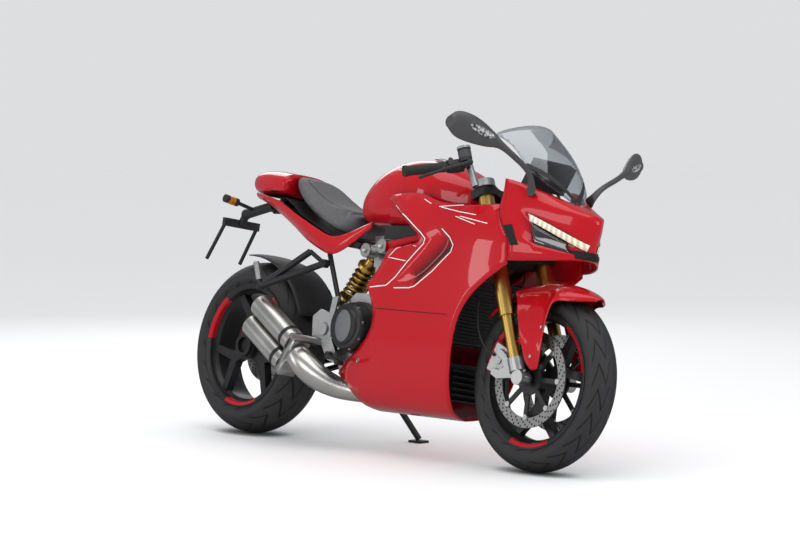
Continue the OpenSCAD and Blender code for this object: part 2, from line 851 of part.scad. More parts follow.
// share of the half width, base x, y, z and top x, y, z
screen_rows = [
  [0, 792, 0, 878, 588, 0, 1143], [0.3, 778, 44, 900, 580, 44, 1140], [0.6, 744, 84, 928, 556, 84, 1128],
  [0.85, 700, 116, 960, 522, 116, 1112], [1, 664, 134, 986, 494, 130, 1096]];
function screen_column(r) =
  [for (k = [0 : 6])
    let (t = k / 6)
    [mix(r[1], r[4], t) + 16 * sin(180 * t), mix(r[2], r[5], t) + 4 * sin(180 * t), mix(r[3], r[6],
      t) + 14 * sin(180 * t)]];
module windscreen() {
  half = [for (r = refine(screen_rows, 2)) screen_column(r)];
  last = len(half) - 1;
  whole = concat([for (k = [last : -1 : 1]) mirrored(half[k])], half);
  color([0.3, 0.32, 0.35, 0.5])
    panel(whole, screen_t);
}

module dash() {
  stay_s = 850;
  stay_x = 120;
  color(BLACK) {
    translate([640, 0, 972])
      rotate([0, 28, 0]) {
        translate([-18, -88, -48])
          cube([34, 176, 100]);
        translate([-22, -76, -38])
          cube([6, 152, 80]);
      }
    on_steering_axis()
      rod([head_tube_r + fit, 0, stay_s], [stay_x, 0, stay_s], 12);
    rod([front_x + trail - stay_s * sin(rake) + stay_x * cos(rake), 0,
      stay_s * cos(rake) + stay_x * sin(rake)],
      [628, 0, 940], 10);
    on_steering_axis()
      translate([stay_x, 0, stay_s])
        sphere(r = 14);
  }
}

mirror_rows = [
  [706, 138.4, 910, 22], [712, 146, 926, 17], [722, 176, 966, 11], [716, 240, 1002, 11], [700, 296, 1034,
    14],
  [680, 330, 1050, 32], [660, 366, 1064, 44], [640, 402, 1074, 48], [624, 432, 1080, 42], [616, 452,
    1082, 20]];
module mirror_arm() {
  rings = [for (r = refine(mirror_rows, 2))
    let (flat = r[3] > 24 && r[1] > 300 ? 0.62 : 1)
    [for (k = [0 : 13])
      let (a = 360 * k / 14)
      [r[0] + r[3] * flat * cos(a), r[1], r[2] - r[3] * sin(a)]]];
  color(GREY)
    loft(rings);
}
module mirror_left() {
  mirror_arm();
}
module mirror_right() {
  mirror([0, 1, 0])
    mirror_arm();
}

// steering

module leg_at() {
  on_steering_axis()
    both_sides()
      translate([fork_offset, fork_half_span, 0])
        children();
}

module fork_tubes() {
  color(GOLD)
    leg_at() {
      translate([0, 0, slider_top_s])
        difference() {
          cylinder(r = fork_outer_r, h = fork_top_s - slider_top_s);
          translate([0, 0, -1])
            cylinder(r = slider_r + fit, h = 61);
        }
      translate([0, 0, fork_top_s - 1])
        cylinder(r = 19, h = 13, $fn = 6);
    }
}

module fork_sliders() {
  color(GOLD)
    leg_at()
      translate([0, 0, axle_s + 70.2])
        cylinder(r = slider_r, h = slider_top_s + 58 - axle_s - 70.2);
}

module fork_bottoms() {
  boss_r = 25;
  color(SILVER) {
    leg_at() {
      translate([0, 0, axle_s + 24])
        cylinder(r = slider_r + 5, h = 46);
      translate([axle_lead, 0, axle_s])
        rotate([90, 0, 0])
          cylinder(r = boss_r, h = 44, center = true);
      translate([-14, -10, axle_s + 2])
        cube([34, 20, 50]);
      // radial arms that carry the caliper
      translate([0, front_disc_y + caliper_half + fit - fork_half_span + 10, axle_s])
        rotate([90, 0, 0])
          linear_extrude(10)
            polygon([[14, 8], [14, 60], [-26, 68], [-46, 112], [-62, 128], [-78, 116], [-62, 92], [-58,
              62], [-84, 62],
              [-108, 78], [-122, 62], [-100, 38], [-50, 22], [-20, 8]]);
    }
    on_axle(front_x, front_z)
      cylinder(r = front_axle_r, h = 2 * fork_half_span + 40, center = true);
  }
}

module clamp(s, reach) {
  translate([0, 0, s])
    difference() {
      linear_extrude(clamp_t)
        polygon([[-reach, -40], [-reach, 40], [fork_offset - 34, fork_half_span + 34], [fork_offset + 26,
          fork_half_span + 34],
          [fork_offset + 34, fork_half_span - 10], [40, 40], [40, -40], [fork_offset + 34,
            -fork_half_span + 10],
          [fork_offset + 26, -fork_half_span - 34], [fork_offset - 34, -fork_half_span - 34]]);
      both_sides()
        translate([fork_offset, fork_half_span, -1])
          cylinder(r = fork_outer_r + fit, h = clamp_t + 2);
    }
}

module upper_clamp() {
  color(BLACK)
    on_steering_axis()
      difference() {
        clamp(upper_clamp_s, 34);
        translate([0, 0, upper_clamp_s - 1])
          cylinder(r = stem_r + fit, h = clamp_t + 2);
      }
}

module lower_clamp() {
  color(BLACK)
    on_steering_axis() {
      clamp(lower_clamp_s, 34);
      translate([0, 0, lower_clamp_s])
        cylinder(r = stem_r, h = upper_clamp_s + clamp_t + 10 - lower_clamp_s);
    }
}

bar_in = [20, 152, 1072];
bar_out = [-84, 360, 1056];
function on_bar(t) = mix(bar_in, bar_out, t);
module handlebars() {
  color(SILVER)
    on_steering_axis()
      both_sides() {
        translate([fork_offset, fork_half_span, upper_clamp_s + clamp_t + fit])
          difference() {
            cylinder(r = fork_outer_r + 11, h = 26);
            translate([0, 0, -1])
              cylinder(r = fork_outer_r + fit, h = 28);
          }
        rod([fork_offset, fork_half_span + fork_outer_r + 14, upper_clamp_s + clamp_t + 2], bar_in, 12);
        rod(bar_in, on_bar(0.36), bar_r);
      }
}

module grips() {
  color(BLACK)
    on_steering_axis()
      both_sides() {
        rod(on_bar(0.362), on_bar(0.96), grip_r);
        rod(on_bar(0.95), on_bar(1), grip_r + 2);
      }
}

module control_levers() {
  lever = on_bar(0.14) + [52, 6, -10];
  knee = on_bar(0.56) + [56, 0, -26];
  color(BLACK)
    on_steering_axis()
      both_sides()
        difference() {
          union() {
            rod(on_bar(0.1), on_bar(0.34), 21);
            rod(on_bar(0.14), lever, 10);
            rod(lever, knee, 6.5);
            translate(lever)
              sphere(r = 11);
            translate(knee)
              sphere(r = 7.5);
            rod(knee, on_bar(0.9) + [34, 0, -40], 5.5);
            rod(on_bar(0.14) + [30, 0, 0], on_bar(0.14) + [30, 0, 52], 22);
          }
          rod(on_bar(-0.1), on_bar(0.4), bar_r + fit);
        }
}

// angle over the axle, radius of the crown, half width, then x and height of the lower edge
fender_rows = [
  [53, 350, 14, 938, 578], [58, 345, 62, 906, 566], [66, 338, 88, 866, 560], [74, 332, 96, 822, 548],
  [79, 330, 99, 804, 440], [84, 328, 101, 802, 334], [94, 326, 108, 758, 340], [101, 325, 112, 728, 405],
  [108, 324, 112, 702, 470], [113, 324, 94, 684, 545], [119, 324, 70, 650, 562], [130, 326, 71, 574, 540],
  [140, 328, 62, 520, 508]];
module front_fender() {
  grid = [for (r = refine(fender_rows, 2))
    let (top = [front_x + r[1] * cos(r[0]), front_z + r[1] * sin(r[0])], shoulder = 0.62)
    [for (k = [-5 : 5])
      let (t = abs(k) / 5,
        arch = min(1, t / shoulder),
        drop = max(0, (t - shoulder) / (1 - shoulder)),
        y = r[2] * sin(90 * arch) ,
        side = [mix(top.x, r[3], 0.8), min(top.y - 0.45 * r[2], mix(top.y, r[4], 0.8))],
        low = [r[3], r[4]],
        p = t <= shoulder ? mix(top, side, 1 - cos(90 * arch)) : mix(side, low, drop))
      [p.x, sign(k) * y, p.y]]];
  color(RED) {
    panel(grid, 3.5);
    // pegs that bolt the skirts to the sliders
    on_steering_axis()
      both_sides()
        rod([fork_offset + slider_r + fit, fork_half_span - 2.2, 431],
          [fork_offset + slider_r + 42, fork_half_span - 2.2, 431], 6);
  }
}

caliper_at = 158;
caliper_half = 31;
module front_calipers() {
  color(SILVER)
    on_axle(front_x, front_z)
      rotate([0, 0, -caliper_at])
        for (side = [-1, 1])
          difference() {
            translate([106, -48, side * front_disc_y - caliper_half])
              cube([66, 96, 2 * caliper_half]);
            translate([0, -80, side * front_disc_y - caliper_slot / 2])
              cube([front_disc_r + 6, 160, caliper_slot]);
          }
}

module brake_hoses() {
  path = refine([[-66, 102, axle_s + 116, 4], [-96, 112, axle_s + 165, 4], [-106, 110, axle_s + 240, 4],
    [-88, 96, axle_s + 330, 4], [-50, 76, axle_s + 375, 4], [-24, 66, lower_clamp_s - 30, 4],
    [-22, 66, lower_clamp_s - fit, 4]], 3);
  color(BLACK)
    on_steering_axis()
      both_sides()
        sweep(path, 8);
}

// wheels

bead_r = flange_r - 12;
spoke_end_r = flange_r - 29;
// least height of a tyre's wall over the rim flange
least_wall = 14;
function rim_profile(half) =
  let (right = [[flange_r, half], [flange_r, half - 5], [bead_r, half - 5.5], [bead_r - 2, half - 24],
    [flange_r - 26, half - 36]],
    left = [[flange_r - 34, half - 36], [flange_r - 22, half - 22], [flange_r - 20, half - 6],
      [flange_r - 6, half]])
  concat(right, [for (k = [len(right) - 1 : -1 : 0]) [right[k].x, -right[k].y]],
    [for (k = [len(left) - 1 : -1 : 0]) [left[k].x, -left[k].y]], left);

function tyre_profile(r, half, crown, rim_half) =
  let (edge = min(asin(half / crown), acos((flange_r + least_wall - r + crown) / crown)), wall = 9,
    steps = 9,
    outer = [for (k = [-steps : steps]) [r - crown + crown * cos(edge * k / steps),
      crown * sin(edge * k / steps)]],
    inner = [for (k = [steps : -1 : -steps])
      [r - crown + (crown - wall) * cos(edge * k / steps), (crown - wall) * sin(edge * k / steps)]],
    foot = [[mix(outer[0].x, flange_r, 0.6), half - 2], [flange_r + fit, rim_half - 2], [flange_r + fit,
      rim_half - 5.5 - fit],
      [bead_r + fit, rim_half - 5.5 - fit], [bead_r + fit, rim_half - 20], [bead_r + 14, rim_half - 13]])
  concat([for (k = [len(foot) - 1 : -1 : 0]) [foot[k].x, -foot[k].y]], outer, foot, inner);

// forked spoke outline along x
function forked_spoke(r0, fork_r, r1, trunk, arm, splay) =
  let (half = asin(arm / 2 / r1))
  [[r0, -trunk / 2], [fork_r, -trunk / 2.4], polar(r1, -splay - half), polar(r1, -splay + half),
    [fork_r + 26, 0],
    polar(r1, splay - half), polar(r1, splay + half), [fork_r, trunk / 2.4], [r0, trunk / 2]];

module front_rim() {
  hub_half = front_disc_y - disc_t / 2 - fit;
  color(BLACK)
    on_axle(front_x, front_z)
      difference() {
        union() {
          rotate_extrude($fn = 96)
            polygon(rim_profile(front_rim_w / 2));
          cylinder(r = 34, h = 2 * hub_half, center = true);
          for (k = [0 : 2])
            rotate([0, 0, 90 + 120 * k])
              translate([0, 0, -front_spoke_t / 2])
                linear_extrude(front_spoke_t)
                  polygon(forked_spoke(20, 82, spoke_end_r, 46, 24, 25));
        }
        cylinder(r = front_axle_r + run_gap, h = 2 * hub_half + 2, center = true);
      }
}

module front_tyre() {
  color(BLACK)
    on_axle(front_x, front_z)
      rotate_extrude($fn = 96)
        polygon(tyre_profile(front_r, front_w / 2, front_crown, front_rim_w / 2));
}

module front_discs() {
  arms = 8;
  color(SILVER)
    on_axle(front_x, front_z)
      for (side = [-1, 1])
        translate([0, 0, side * front_disc_y - disc_t / 2])
          linear_extrude(disc_t)
            difference() {
              union() {
                difference() {
                  circle(r = front_disc_r);
                  circle(r = front_disc_r - 33);
                }
                for (k = [0 : arms - 1])
                  rotate(360 * k / arms)
                    translate([44, -7])
                      square([front_disc_r - 33 - 40, 14]);
                circle(r = 50);
              }
              circle(r = front_axle_r + 12);
            }
}

rear_disc_y = 34;
wheel_face_y = -88;
module rear_rim() {
  color(BLACK)
    on_axle(rear_x, rear_z) {
      rotate_extrude($fn = 96)
        polygon(rim_profile(rear_rim_w / 2));
      translate([0, 0, -74])
        cylinder(r = 50, h = 74 + rear_disc_y - disc_t / 2 - fit);
      for (k = [0 : 2])
        rotate([0, 0, 30 + 120 * k])
          translate([0, 0, -40 - rear_spoke_t / 2])
            linear_extrude(rear_spoke_t)
              polygon(forked_spoke(30, 88, spoke_end_r, 52, 28, 25));
      // live axle and its hollow nut
      translate([0, 0, rear_disc_y - disc_t / 2 - 1])
        cylinder(r = rear_axle_r, h = chain_y + 16 - rear_disc_y);
      translate([0, 0, wheel_face_y])
        difference() {
          cylinder(r = 42, h = 20);
          translate([0, 0, -1])
            cylinder(r = 29, h = 18);
        }
    }
}

module rear_tyre() {
  color(BLACK)
    on_axle(rear_x, rear_z)
      rotate_extrude($fn = 96)
        polygon(tyre_profile(rear_r, rear_w / 2, rear_crown, rear_rim_w / 2));
}

module rear_disc() {
  color(SILVER)
    on_axle(rear_x, rear_z)
      translate([0, 0, rear_disc_y - disc_t / 2])
        linear_extrude(disc_t)
          difference() {
            circle(r = rear_disc_r);
            circle(r = rear_axle_r + fit);
          }
}

module rear_sprocket() {
  tooth_step = 360 / big_teeth;
  teeth = [for (k = [0 : big_teeth - 1], q = [0 : 3])
    polar(big_sprocket_r + [-4.6, 4.4, 4.4, -4.6][q], tooth_step * (k + [0.16, 0.40, 0.60, 0.84][q]))];
  color(SILVER)
    on_axle(rear_x, rear_z)
      translate([0, 0, chain_y - sprocket_t / 2])
        difference() {
          union() {
            linear_extrude(sprocket_t)
              polygon(teeth);
            cylinder(r = 46, h = 18);
          }
          translate([0, 0, -1])
            cylinder(r = rear_axle_r + fit, h = 40);
        }
}

// side stand

stand_pivot = [-190, 132, 238];
stand_foot_y = 262;
// height of the parked bike's ground plane at y, in the upright bike
function ground_at(y) = y * tan(lean) - ground_lift / cos(lean);
stand_foot = [-108, stand_foot_y, ground_at(stand_foot_y)];
// folded, the leg points to the rear and a little up
stand_folded = [-0.985, 0.13, 0.05];
stand_leg = stand_foot - stand_pivot;
stand_turn = stand_leg / norm(stand_leg) - stand_folded;
stand_way = [0, 1, 0] - stand_turn * stand_turn.y / (stand_turn * stand_turn);
module stand_axis() {
  translate(stand_pivot)
    rotate([0, acos(stand_way.z / norm(stand_way)), atan2(stand_way.y, stand_way.x)])
      children();
}
module side_stand() {
  color(BLACK)
    difference() {
      union() {
        rod(stand_pivot, stand_foot + [0, 0, 12], stand_leg_r);
        stand_axis()
          cylinder(r = 18, h = 22, center = true);
        translate(stand_foot)
          rotate([lean, 0, 0])
            translate([-30, -22, 0])
              cube([60, 44, 8]);
      }
      stand_axis()
        cylinder(r = stand_bolt_r + run_gap, h = 90, center = true);
    }
}

// leans the upright bike onto its stand and puts the middle of its width at y = 0
module parked() {
  translate([-middle_x, -middle_y, ground_lift])
    rotate([-lean, 0, 0])
      children();
}

parked() frame();
parked() subframe();
parked() engine();
parked() clutch_cover();
parked() alternator_cover();
parked() radiator();
parked() oil_cooler();
parked() exhaust_pipe();
parked() silencer();
parked() swingarm();
parked() shock_absorber();
parked() chain();
parked() rear_hugger();
parked() rear_caliper();
parked() footrest_right();
parked() footrest_left();
parked() brake_pedal();
parked() shift_lever();
parked() passenger_hangers();
parked() fuel_tank();
parked() filler_cap();
parked() seat();
parked() seat_cowl();
parked() tail_panel_right();
parked() tail_panel_left();
parked() undertail();
parked() plate_holder();
parked() fairing_right();
parked() fairing_left();
parked() nose_fairing();
parked() headlamp_lenses();
parked() running_lamps();
parked() windscreen();
parked() dash();
parked() mirror_right();
parked() mirror_left();
parked() fork_tubes();
parked() fork_sliders();
parked() fork_bottoms();
parked() upper_clamp();
parked() lower_clamp();
parked() handlebars();
parked() grips();
parked() control_levers();
parked() front_fender();
parked() front_calipers();
parked() brake_hoses();
parked() front_rim();
parked() front_tyre();
parked() front_discs();
parked() rear_rim();
parked() rear_tyre();
parked() rear_disc();
parked() rear_sprocket();
parked() side_stand();
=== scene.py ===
import bpy
import bmesh
import json
import math
from mathutils import Matrix, Vector
from mathutils.bvhtree import BVHTree


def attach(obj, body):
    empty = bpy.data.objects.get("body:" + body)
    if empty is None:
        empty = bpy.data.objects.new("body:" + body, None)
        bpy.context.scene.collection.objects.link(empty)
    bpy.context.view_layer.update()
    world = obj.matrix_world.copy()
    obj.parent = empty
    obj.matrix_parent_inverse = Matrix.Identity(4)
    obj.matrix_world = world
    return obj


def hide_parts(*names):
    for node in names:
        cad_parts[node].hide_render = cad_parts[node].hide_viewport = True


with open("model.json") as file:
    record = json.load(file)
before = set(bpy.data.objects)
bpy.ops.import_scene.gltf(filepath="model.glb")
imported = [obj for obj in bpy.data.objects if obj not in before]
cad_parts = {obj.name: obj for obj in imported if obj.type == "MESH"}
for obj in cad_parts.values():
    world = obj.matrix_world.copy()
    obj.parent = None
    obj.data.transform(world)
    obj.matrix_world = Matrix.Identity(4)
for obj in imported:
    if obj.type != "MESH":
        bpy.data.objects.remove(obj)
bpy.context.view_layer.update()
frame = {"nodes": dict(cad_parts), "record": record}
NODES = frame["nodes"]
BODY = {n: b for b, ns in frame["record"]["behaviour"]["bodies"].items() for n in ns}
SLOT = {p["node"]: p["material_slot"] for p in frame["record"]["subparts"]}

# upright bike in millimetres to the parked bike in metres
LEAN = math.radians(10)
PARK = (Matrix.Translation((0.0075, -0.187, 0.105 * (1 - math.cos(LEAN)))) @ Matrix.Rotation(-LEAN, 4, "X")
        @ Matrix.Diagonal((0.001, 0.001, 0.001, 1)))
UNPARK = PARK.inverted()

FRONT, REAR = (739, 299.38), (-739, 315)  # axles in x and z
SIDES = ((-1, "right"), (1, "left"))  # signs of y
SMOOTH_BELOW, LOFT_SMOOTH_BELOW = 34, 48  # edges that turn by fewer degrees are shaded smooth
SHEET = 0.4  # thickness of lines, lenses and other laid-on sheets
RED = (0.42, 0.002, 0.008)


# materials

def grain_and_shade_group():
    """Colour drift, roughness drift, painted shade that darkens the colour in corners and recesses, and a normal with
    fine grain and softened edges.
    """
    g = bpy.data.node_groups.new("grain", "ShaderNodeTree")
    for name, kind, value in (("Colour", "NodeSocketColor", (0.5, 0.5, 0.5, 1)),
                              ("Roughness", "NodeSocketFloat", 0.4), ("Scale", "NodeSocketFloat", 20),
                              ("Drift", "NodeSocketFloat", 0.1),
                              ("Grain", "NodeSocketFloat", 0.05), ("Edge", "NodeSocketFloat", 0.0006)):
        g.interface.new_socket(name, in_out="INPUT", socket_type=kind).default_value = value
    for name, kind in (("Colour", "NodeSocketColor"), ("Roughness", "NodeSocketFloat"),
                       ("Normal", "NodeSocketVector")):
        g.interface.new_socket(name, in_out="OUTPUT", socket_type=kind)
    n, l = g.nodes, g.links
    gin, gout, co = n.new("NodeGroupInput"), n.new("NodeGroupOutput"), n.new("ShaderNodeTexCoord")
    big, fine = n.new("ShaderNodeTexNoise"), n.new("ShaderNodeTexNoise")
    big.inputs["Detail"].default_value = 4
    fine.inputs["Scale"].default_value = 900
    l.new(co.outputs["Object"], big.inputs["Vector"])
    l.new(co.outputs["Object"], fine.inputs["Vector"])
    l.new(gin.outputs["Scale"], big.inputs["Scale"])
    off = n.new("ShaderNodeMath"); off.operation = "SUBTRACT"; off.inputs[1].default_value = 0.5
    l.new(big.outputs["Fac"], off.inputs[0])
    amt = n.new("ShaderNodeMath"); amt.operation = "MULTIPLY"
    l.new(off.outputs[0], amt.inputs[0]); l.new(gin.outputs["Drift"], amt.inputs[1])
    bright = n.new("ShaderNodeMath"); bright.operation = "MULTIPLY_ADD"
    bright.inputs[1].default_value = 2; bright.inputs[2].default_value = 1
    l.new(amt.outputs[0], bright.inputs[0])
    mul = n.new("ShaderNodeMix"); mul.data_type = "RGBA"; mul.blend_type = "MULTIPLY"
    mul.inputs[0].default_value = 1
    l.new(gin.outputs["Colour"], mul.inputs[6]); l.new(bright.outputs[0], mul.inputs[7])
    # painted shade: ambient occlusion darkens the colour down to 0.3 in corners, creases and recesses
    painted_occlusion = n.new("ShaderNodeAmbientOcclusion"); painted_occlusion.samples = 6; painted_occlusion.inputs["Distance"].default_value = 0.06
    depth = n.new("ShaderNodeMapRange")
    depth.inputs["From Min"].default_value = 0.25; depth.inputs["From Max"].default_value = 0.85
    depth.inputs["To Min"].default_value = 0.3
    l.new(painted_occlusion.outputs["AO"], depth.inputs["Value"])
    shade = n.new("ShaderNodeMix"); shade.data_type = "RGBA"; shade.blend_type = "MULTIPLY"
    shade.inputs[0].default_value = 1
    l.new(mul.outputs[2], shade.inputs[6]); l.new(depth.outputs["Result"], shade.inputs[7])
    rough = n.new("ShaderNodeMath"); rough.operation = "ADD"; rough.use_clamp = True
    l.new(gin.outputs["Roughness"], rough.inputs[0]); l.new(amt.outputs[0], rough.inputs[1])
    soft = n.new("ShaderNodeBevel"); soft.samples = 4
    l.new(gin.outputs["Edge"], soft.inputs["Radius"])
    bump = n.new("ShaderNodeBump"); bump.inputs["Distance"].default_value = 0.0004
    l.new(gin.outputs["Grain"], bump.inputs["Strength"]); l.new(fine.outputs["Fac"], bump.inputs["Height"])
    l.new(soft.outputs["Normal"], bump.inputs["Normal"])
    l.new(shade.outputs[2], gout.inputs["Colour"]); l.new(rough.outputs[0], gout.inputs["Roughness"])
    l.new(bump.outputs["Normal"], gout.inputs["Normal"])
    return g


GRAIN_AND_SHADE = grain_and_shade_group()


def grain_and_shade_node(n):
    return next(x for x in n if x.type == "GROUP")


def finish_mat(name, colour, rough, metal=0.0, coat=0.0, scale=20, drift=0.1, grain=0.05, edge=0.0006, glow=0.0):
    m = bpy.data.materials.new(name)
    m.use_nodes = True
    n, l = m.node_tree.nodes, m.node_tree.links
    b = n["Principled BSDF"]
    g = n.new("ShaderNodeGroup"); g.node_tree = GRAIN_AND_SHADE
    g.inputs["Colour"].default_value = (*colour, 1); g.inputs["Roughness"].default_value = rough
    g.inputs["Scale"].default_value = scale; g.inputs["Drift"].default_value = drift
    g.inputs["Grain"].default_value = grain; g.inputs["Edge"].default_value = edge
    l.new(g.outputs["Colour"], b.inputs["Base Color"]); l.new(g.outputs["Roughness"], b.inputs["Roughness"])
    l.new(g.outputs["Normal"], b.inputs["Normal"])
    b.inputs["Metallic"].default_value = metal
    b.inputs["Specular IOR Level"].default_value = 0.12 if coat else 0.5
    b.inputs["Coat Weight"].default_value = coat; b.inputs["Coat Roughness"].default_value = 0.03
    if glow:
        b.inputs["Emission Color"].default_value = (*colour, 1); b.inputs["Emission Strength"].default_value = glow
    return m


def maths(n, l):
    """Maker of Math nodes that takes sockets or numbers."""
    def calc(op, a, b=None, c=None):
        q = n.new("ShaderNodeMath"); q.operation = op
        for i, v in enumerate((a, b, c)):
            if v is None:
                continue
            if isinstance(v, (int, float)):
                q.inputs[i].default_value = v
            else:
                l.new(v, q.inputs[i])
        return q.outputs[0]
    return calc


def upright_place(n, l, origin):
    """Object coordinates turned back to the upright bike, in metres from an x and z given in millimetres."""
    co, mp, sep = n.new("ShaderNodeTexCoord"), n.new("ShaderNodeMapping"), n.new("ShaderNodeSeparateXYZ")
    mp.vector_type = "TEXTURE"
    mp.inputs["Location"].default_value = PARK @ Vector((origin[0], 0, origin[1]))
    mp.inputs["Rotation"].default_value = (-LEAN, 0, 0)
    l.new(co.outputs["Object"], mp.inputs["Vector"]); l.new(mp.outputs["Vector"], sep.inputs[0])
    return sep.outputs


def tyre_mat(name, axle, half, count):
    """Rubber with slanted road grooves around the wheel's own axle, darkened by painted shade in the grooves; half is
    the tread's half width in metres.
    """
    m = finish_mat(name, (0.022, 0.022, 0.023), 0.62, scale=30, drift=0.25, grain=0.25)
    n, l = m.node_tree.nodes, m.node_tree.links
    calc, place = maths(n, l), upright_place(n, l, axle)
    turn = calc("MULTIPLY", calc("ARCTAN2", place[2], place[0]), count / (2 * math.pi))
    side = calc("DIVIDE", calc("ABSOLUTE", place[1]), half)
    lane = calc("MULTIPLY_ADD", calc("PINGPONG", side, 0.34), 3.2, calc("MULTIPLY_ADD", side, 0.9, turn))
    cut = calc("LESS_THAN", calc("ABSOLUTE", calc("SUBTRACT", calc("FRACT", lane), 0.5)), 0.085)
    band = calc("MULTIPLY", calc("GREATER_THAN", side, 0.12), calc("LESS_THAN", side, 0.9))
    groove = calc("MULTIPLY", cut, band)
    bump = n.new("ShaderNodeBump"); bump.inputs["Distance"].default_value = 0.006; bump.invert = True
    bump.inputs["Strength"].default_value = 1
    g = grain_and_shade_node(n)
    b = n["Principled BSDF"]
    l.new(groove, bump.inputs["Height"]); l.new(g.outputs["Normal"], bump.inputs["Normal"])
    l.new(bump.outputs["Normal"], b.inputs["Normal"])
    # painted shade: the grooves' colour is darkened to 0.12
    groove_shade = n.new("ShaderNodeMix"); groove_shade.data_type = "RGBA"; groove_shade.blend_type = "MULTIPLY"
    groove_shade.inputs[7].default_value = (0.12, 0.12, 0.12, 1)
    l.new(groove, groove_shade.inputs[0]); l.new(g.outputs["Colour"], groove_shade.inputs[6])
    l.new(groove_shade.outputs[2], b.inputs["Base Color"])
    return m


def clear_mat(name, tint, gloss=0.05, body=0.0):
    """Thin tinted sheet: see-through straight on, mirror-like at a flat angle."""
    m = bpy.data.materials.new(name)
    m.use_nodes = True
    n, l = m.node_tree.nodes, m.node_tree.links
    n.remove(n["Principled BSDF"])
    out = n["Material Output"]
    thru, shine, mix = n.new("ShaderNodeBsdfTransparent"), n.new("ShaderNodeBsdfGlossy"), n.new("ShaderNodeMixShader")
    rim, shape = n.new("ShaderNodeLayerWeight"), n.new("ShaderNodeMapRange")
    co, noise, ramp = n.new("ShaderNodeTexCoord"), n.new("ShaderNodeTexNoise"), n.new("ShaderNodeMapRange")
    noise.inputs["Scale"].default_value = 6
    l.new(co.outputs["Object"], noise.inputs["Vector"]); l.new(noise.outputs["Fac"], ramp.inputs["Value"])
    ramp.inputs["To Min"].default_value = gloss * 0.6; ramp.inputs["To Max"].default_value = gloss * 1.4
    l.new(ramp.outputs["Result"], shine.inputs["Roughness"])
    thru.inputs["Color"].default_value = (*tint, 1)
    rim.inputs["Blend"].default_value = 0.18
    shape.inputs["To Min"].default_value = 0.05 + body; shape.inputs["To Max"].default_value = 0.75
    l.new(rim.outputs["Facing"], shape.inputs["Value"]); l.new(shape.outputs["Result"], mix.inputs["Fac"])
    l.new(thru.outputs[0], mix.inputs[1]); l.new(shine.outputs[0], mix.inputs[2])
    l.new(mix.outputs[0], out.inputs["Surface"])
    return m


MAT = {
    "red_paint": finish_mat("red_paint", RED, 0.3, coat=0.8, scale=3, drift=0.06, grain=0.012, edge=0.0012),
    "black_metal": finish_mat("black_metal", (0.018, 0.018, 0.019), 0.38, metal=0.2, scale=25, drift=0.16,
                              grain=0.1),
    "black_plastic": finish_mat("black_plastic", (0.02, 0.02, 0.021), 0.55, scale=40, drift=0.14, grain=0.35),
    "rubber": finish_mat("rubber", (0.018, 0.018, 0.018), 0.7, scale=60, drift=0.2, grain=0.4),
    "silver_metal": finish_mat("silver_metal", (0.64, 0.64, 0.63), 0.38, metal=1, scale=30, drift=0.14, grain=0.2,
                               edge=0.001),
    "steel": finish_mat("steel", (0.74, 0.72, 0.68), 0.3, metal=1, scale=14, drift=0.16, grain=0.08),
    "gold_metal": finish_mat("gold_metal", (0.78, 0.5, 0.13), 0.3, metal=1, scale=18, drift=0.12, grain=0.06),
    "seat_vinyl": finish_mat("seat_vinyl", (0.085, 0.085, 0.09), 0.62, scale=35, drift=0.16, grain=0.6),
    "grey_plastic": finish_mat("grey_plastic", (0.05, 0.05, 0.054), 0.42, scale=30, drift=0.12, grain=0.2),
    "cast_grey": finish_mat("cast_grey", (0.17, 0.175, 0.18), 0.5, metal=0.5, scale=60, drift=0.14, grain=0.5),
    "lamp_white": finish_mat("lamp_white", (0.80, 0.74, 0.56), 0.25, coat=1, scale=80, drift=0.08, glow=0.12),
    "screen_tint": clear_mat("screen_tint", (0.72, 0.74, 0.76), 0.02),
    "lamp_glass": clear_mat("lamp_glass", (0.45, 0.46, 0.48), 0.02, 0.15),
    "white_line_and_painted_highlight": finish_mat("white_line_and_painted_highlight", (0.82, 0.82, 0.8), 0.35, coat=0.6, scale=60, drift=0.06),
    # dark seams are the joints' own colour; on holes, vents, the intake and the outlets this black is painted shade
    "dark_joint_and_opening_shade": finish_mat("dark_joint_and_opening_shade", (0.006, 0.006, 0.007), 0.7, scale=60, drift=0.2, grain=0.3),
    "dash_glass": finish_mat("dash_glass", (0.008, 0.009, 0.011), 0.08, coat=1, scale=6, drift=0.05, grain=0),
    "amber": finish_mat("amber", (0.75, 0.24, 0.02), 0.22, coat=1, scale=120, drift=0.2),
    "tail_red": finish_mat("tail_red", (0.4, 0.006, 0.008), 0.18, coat=1, scale=120, drift=0.2),
    "mirror_glass": finish_mat("mirror_glass", (0.85, 0.86, 0.88), 0.03, metal=1, scale=4, drift=0.02, grain=0),
    "pale_lens": finish_mat("pale_lens", (0.62, 0.63, 0.62), 0.18, coat=1, scale=160, drift=0.3, grain=0.5),
}


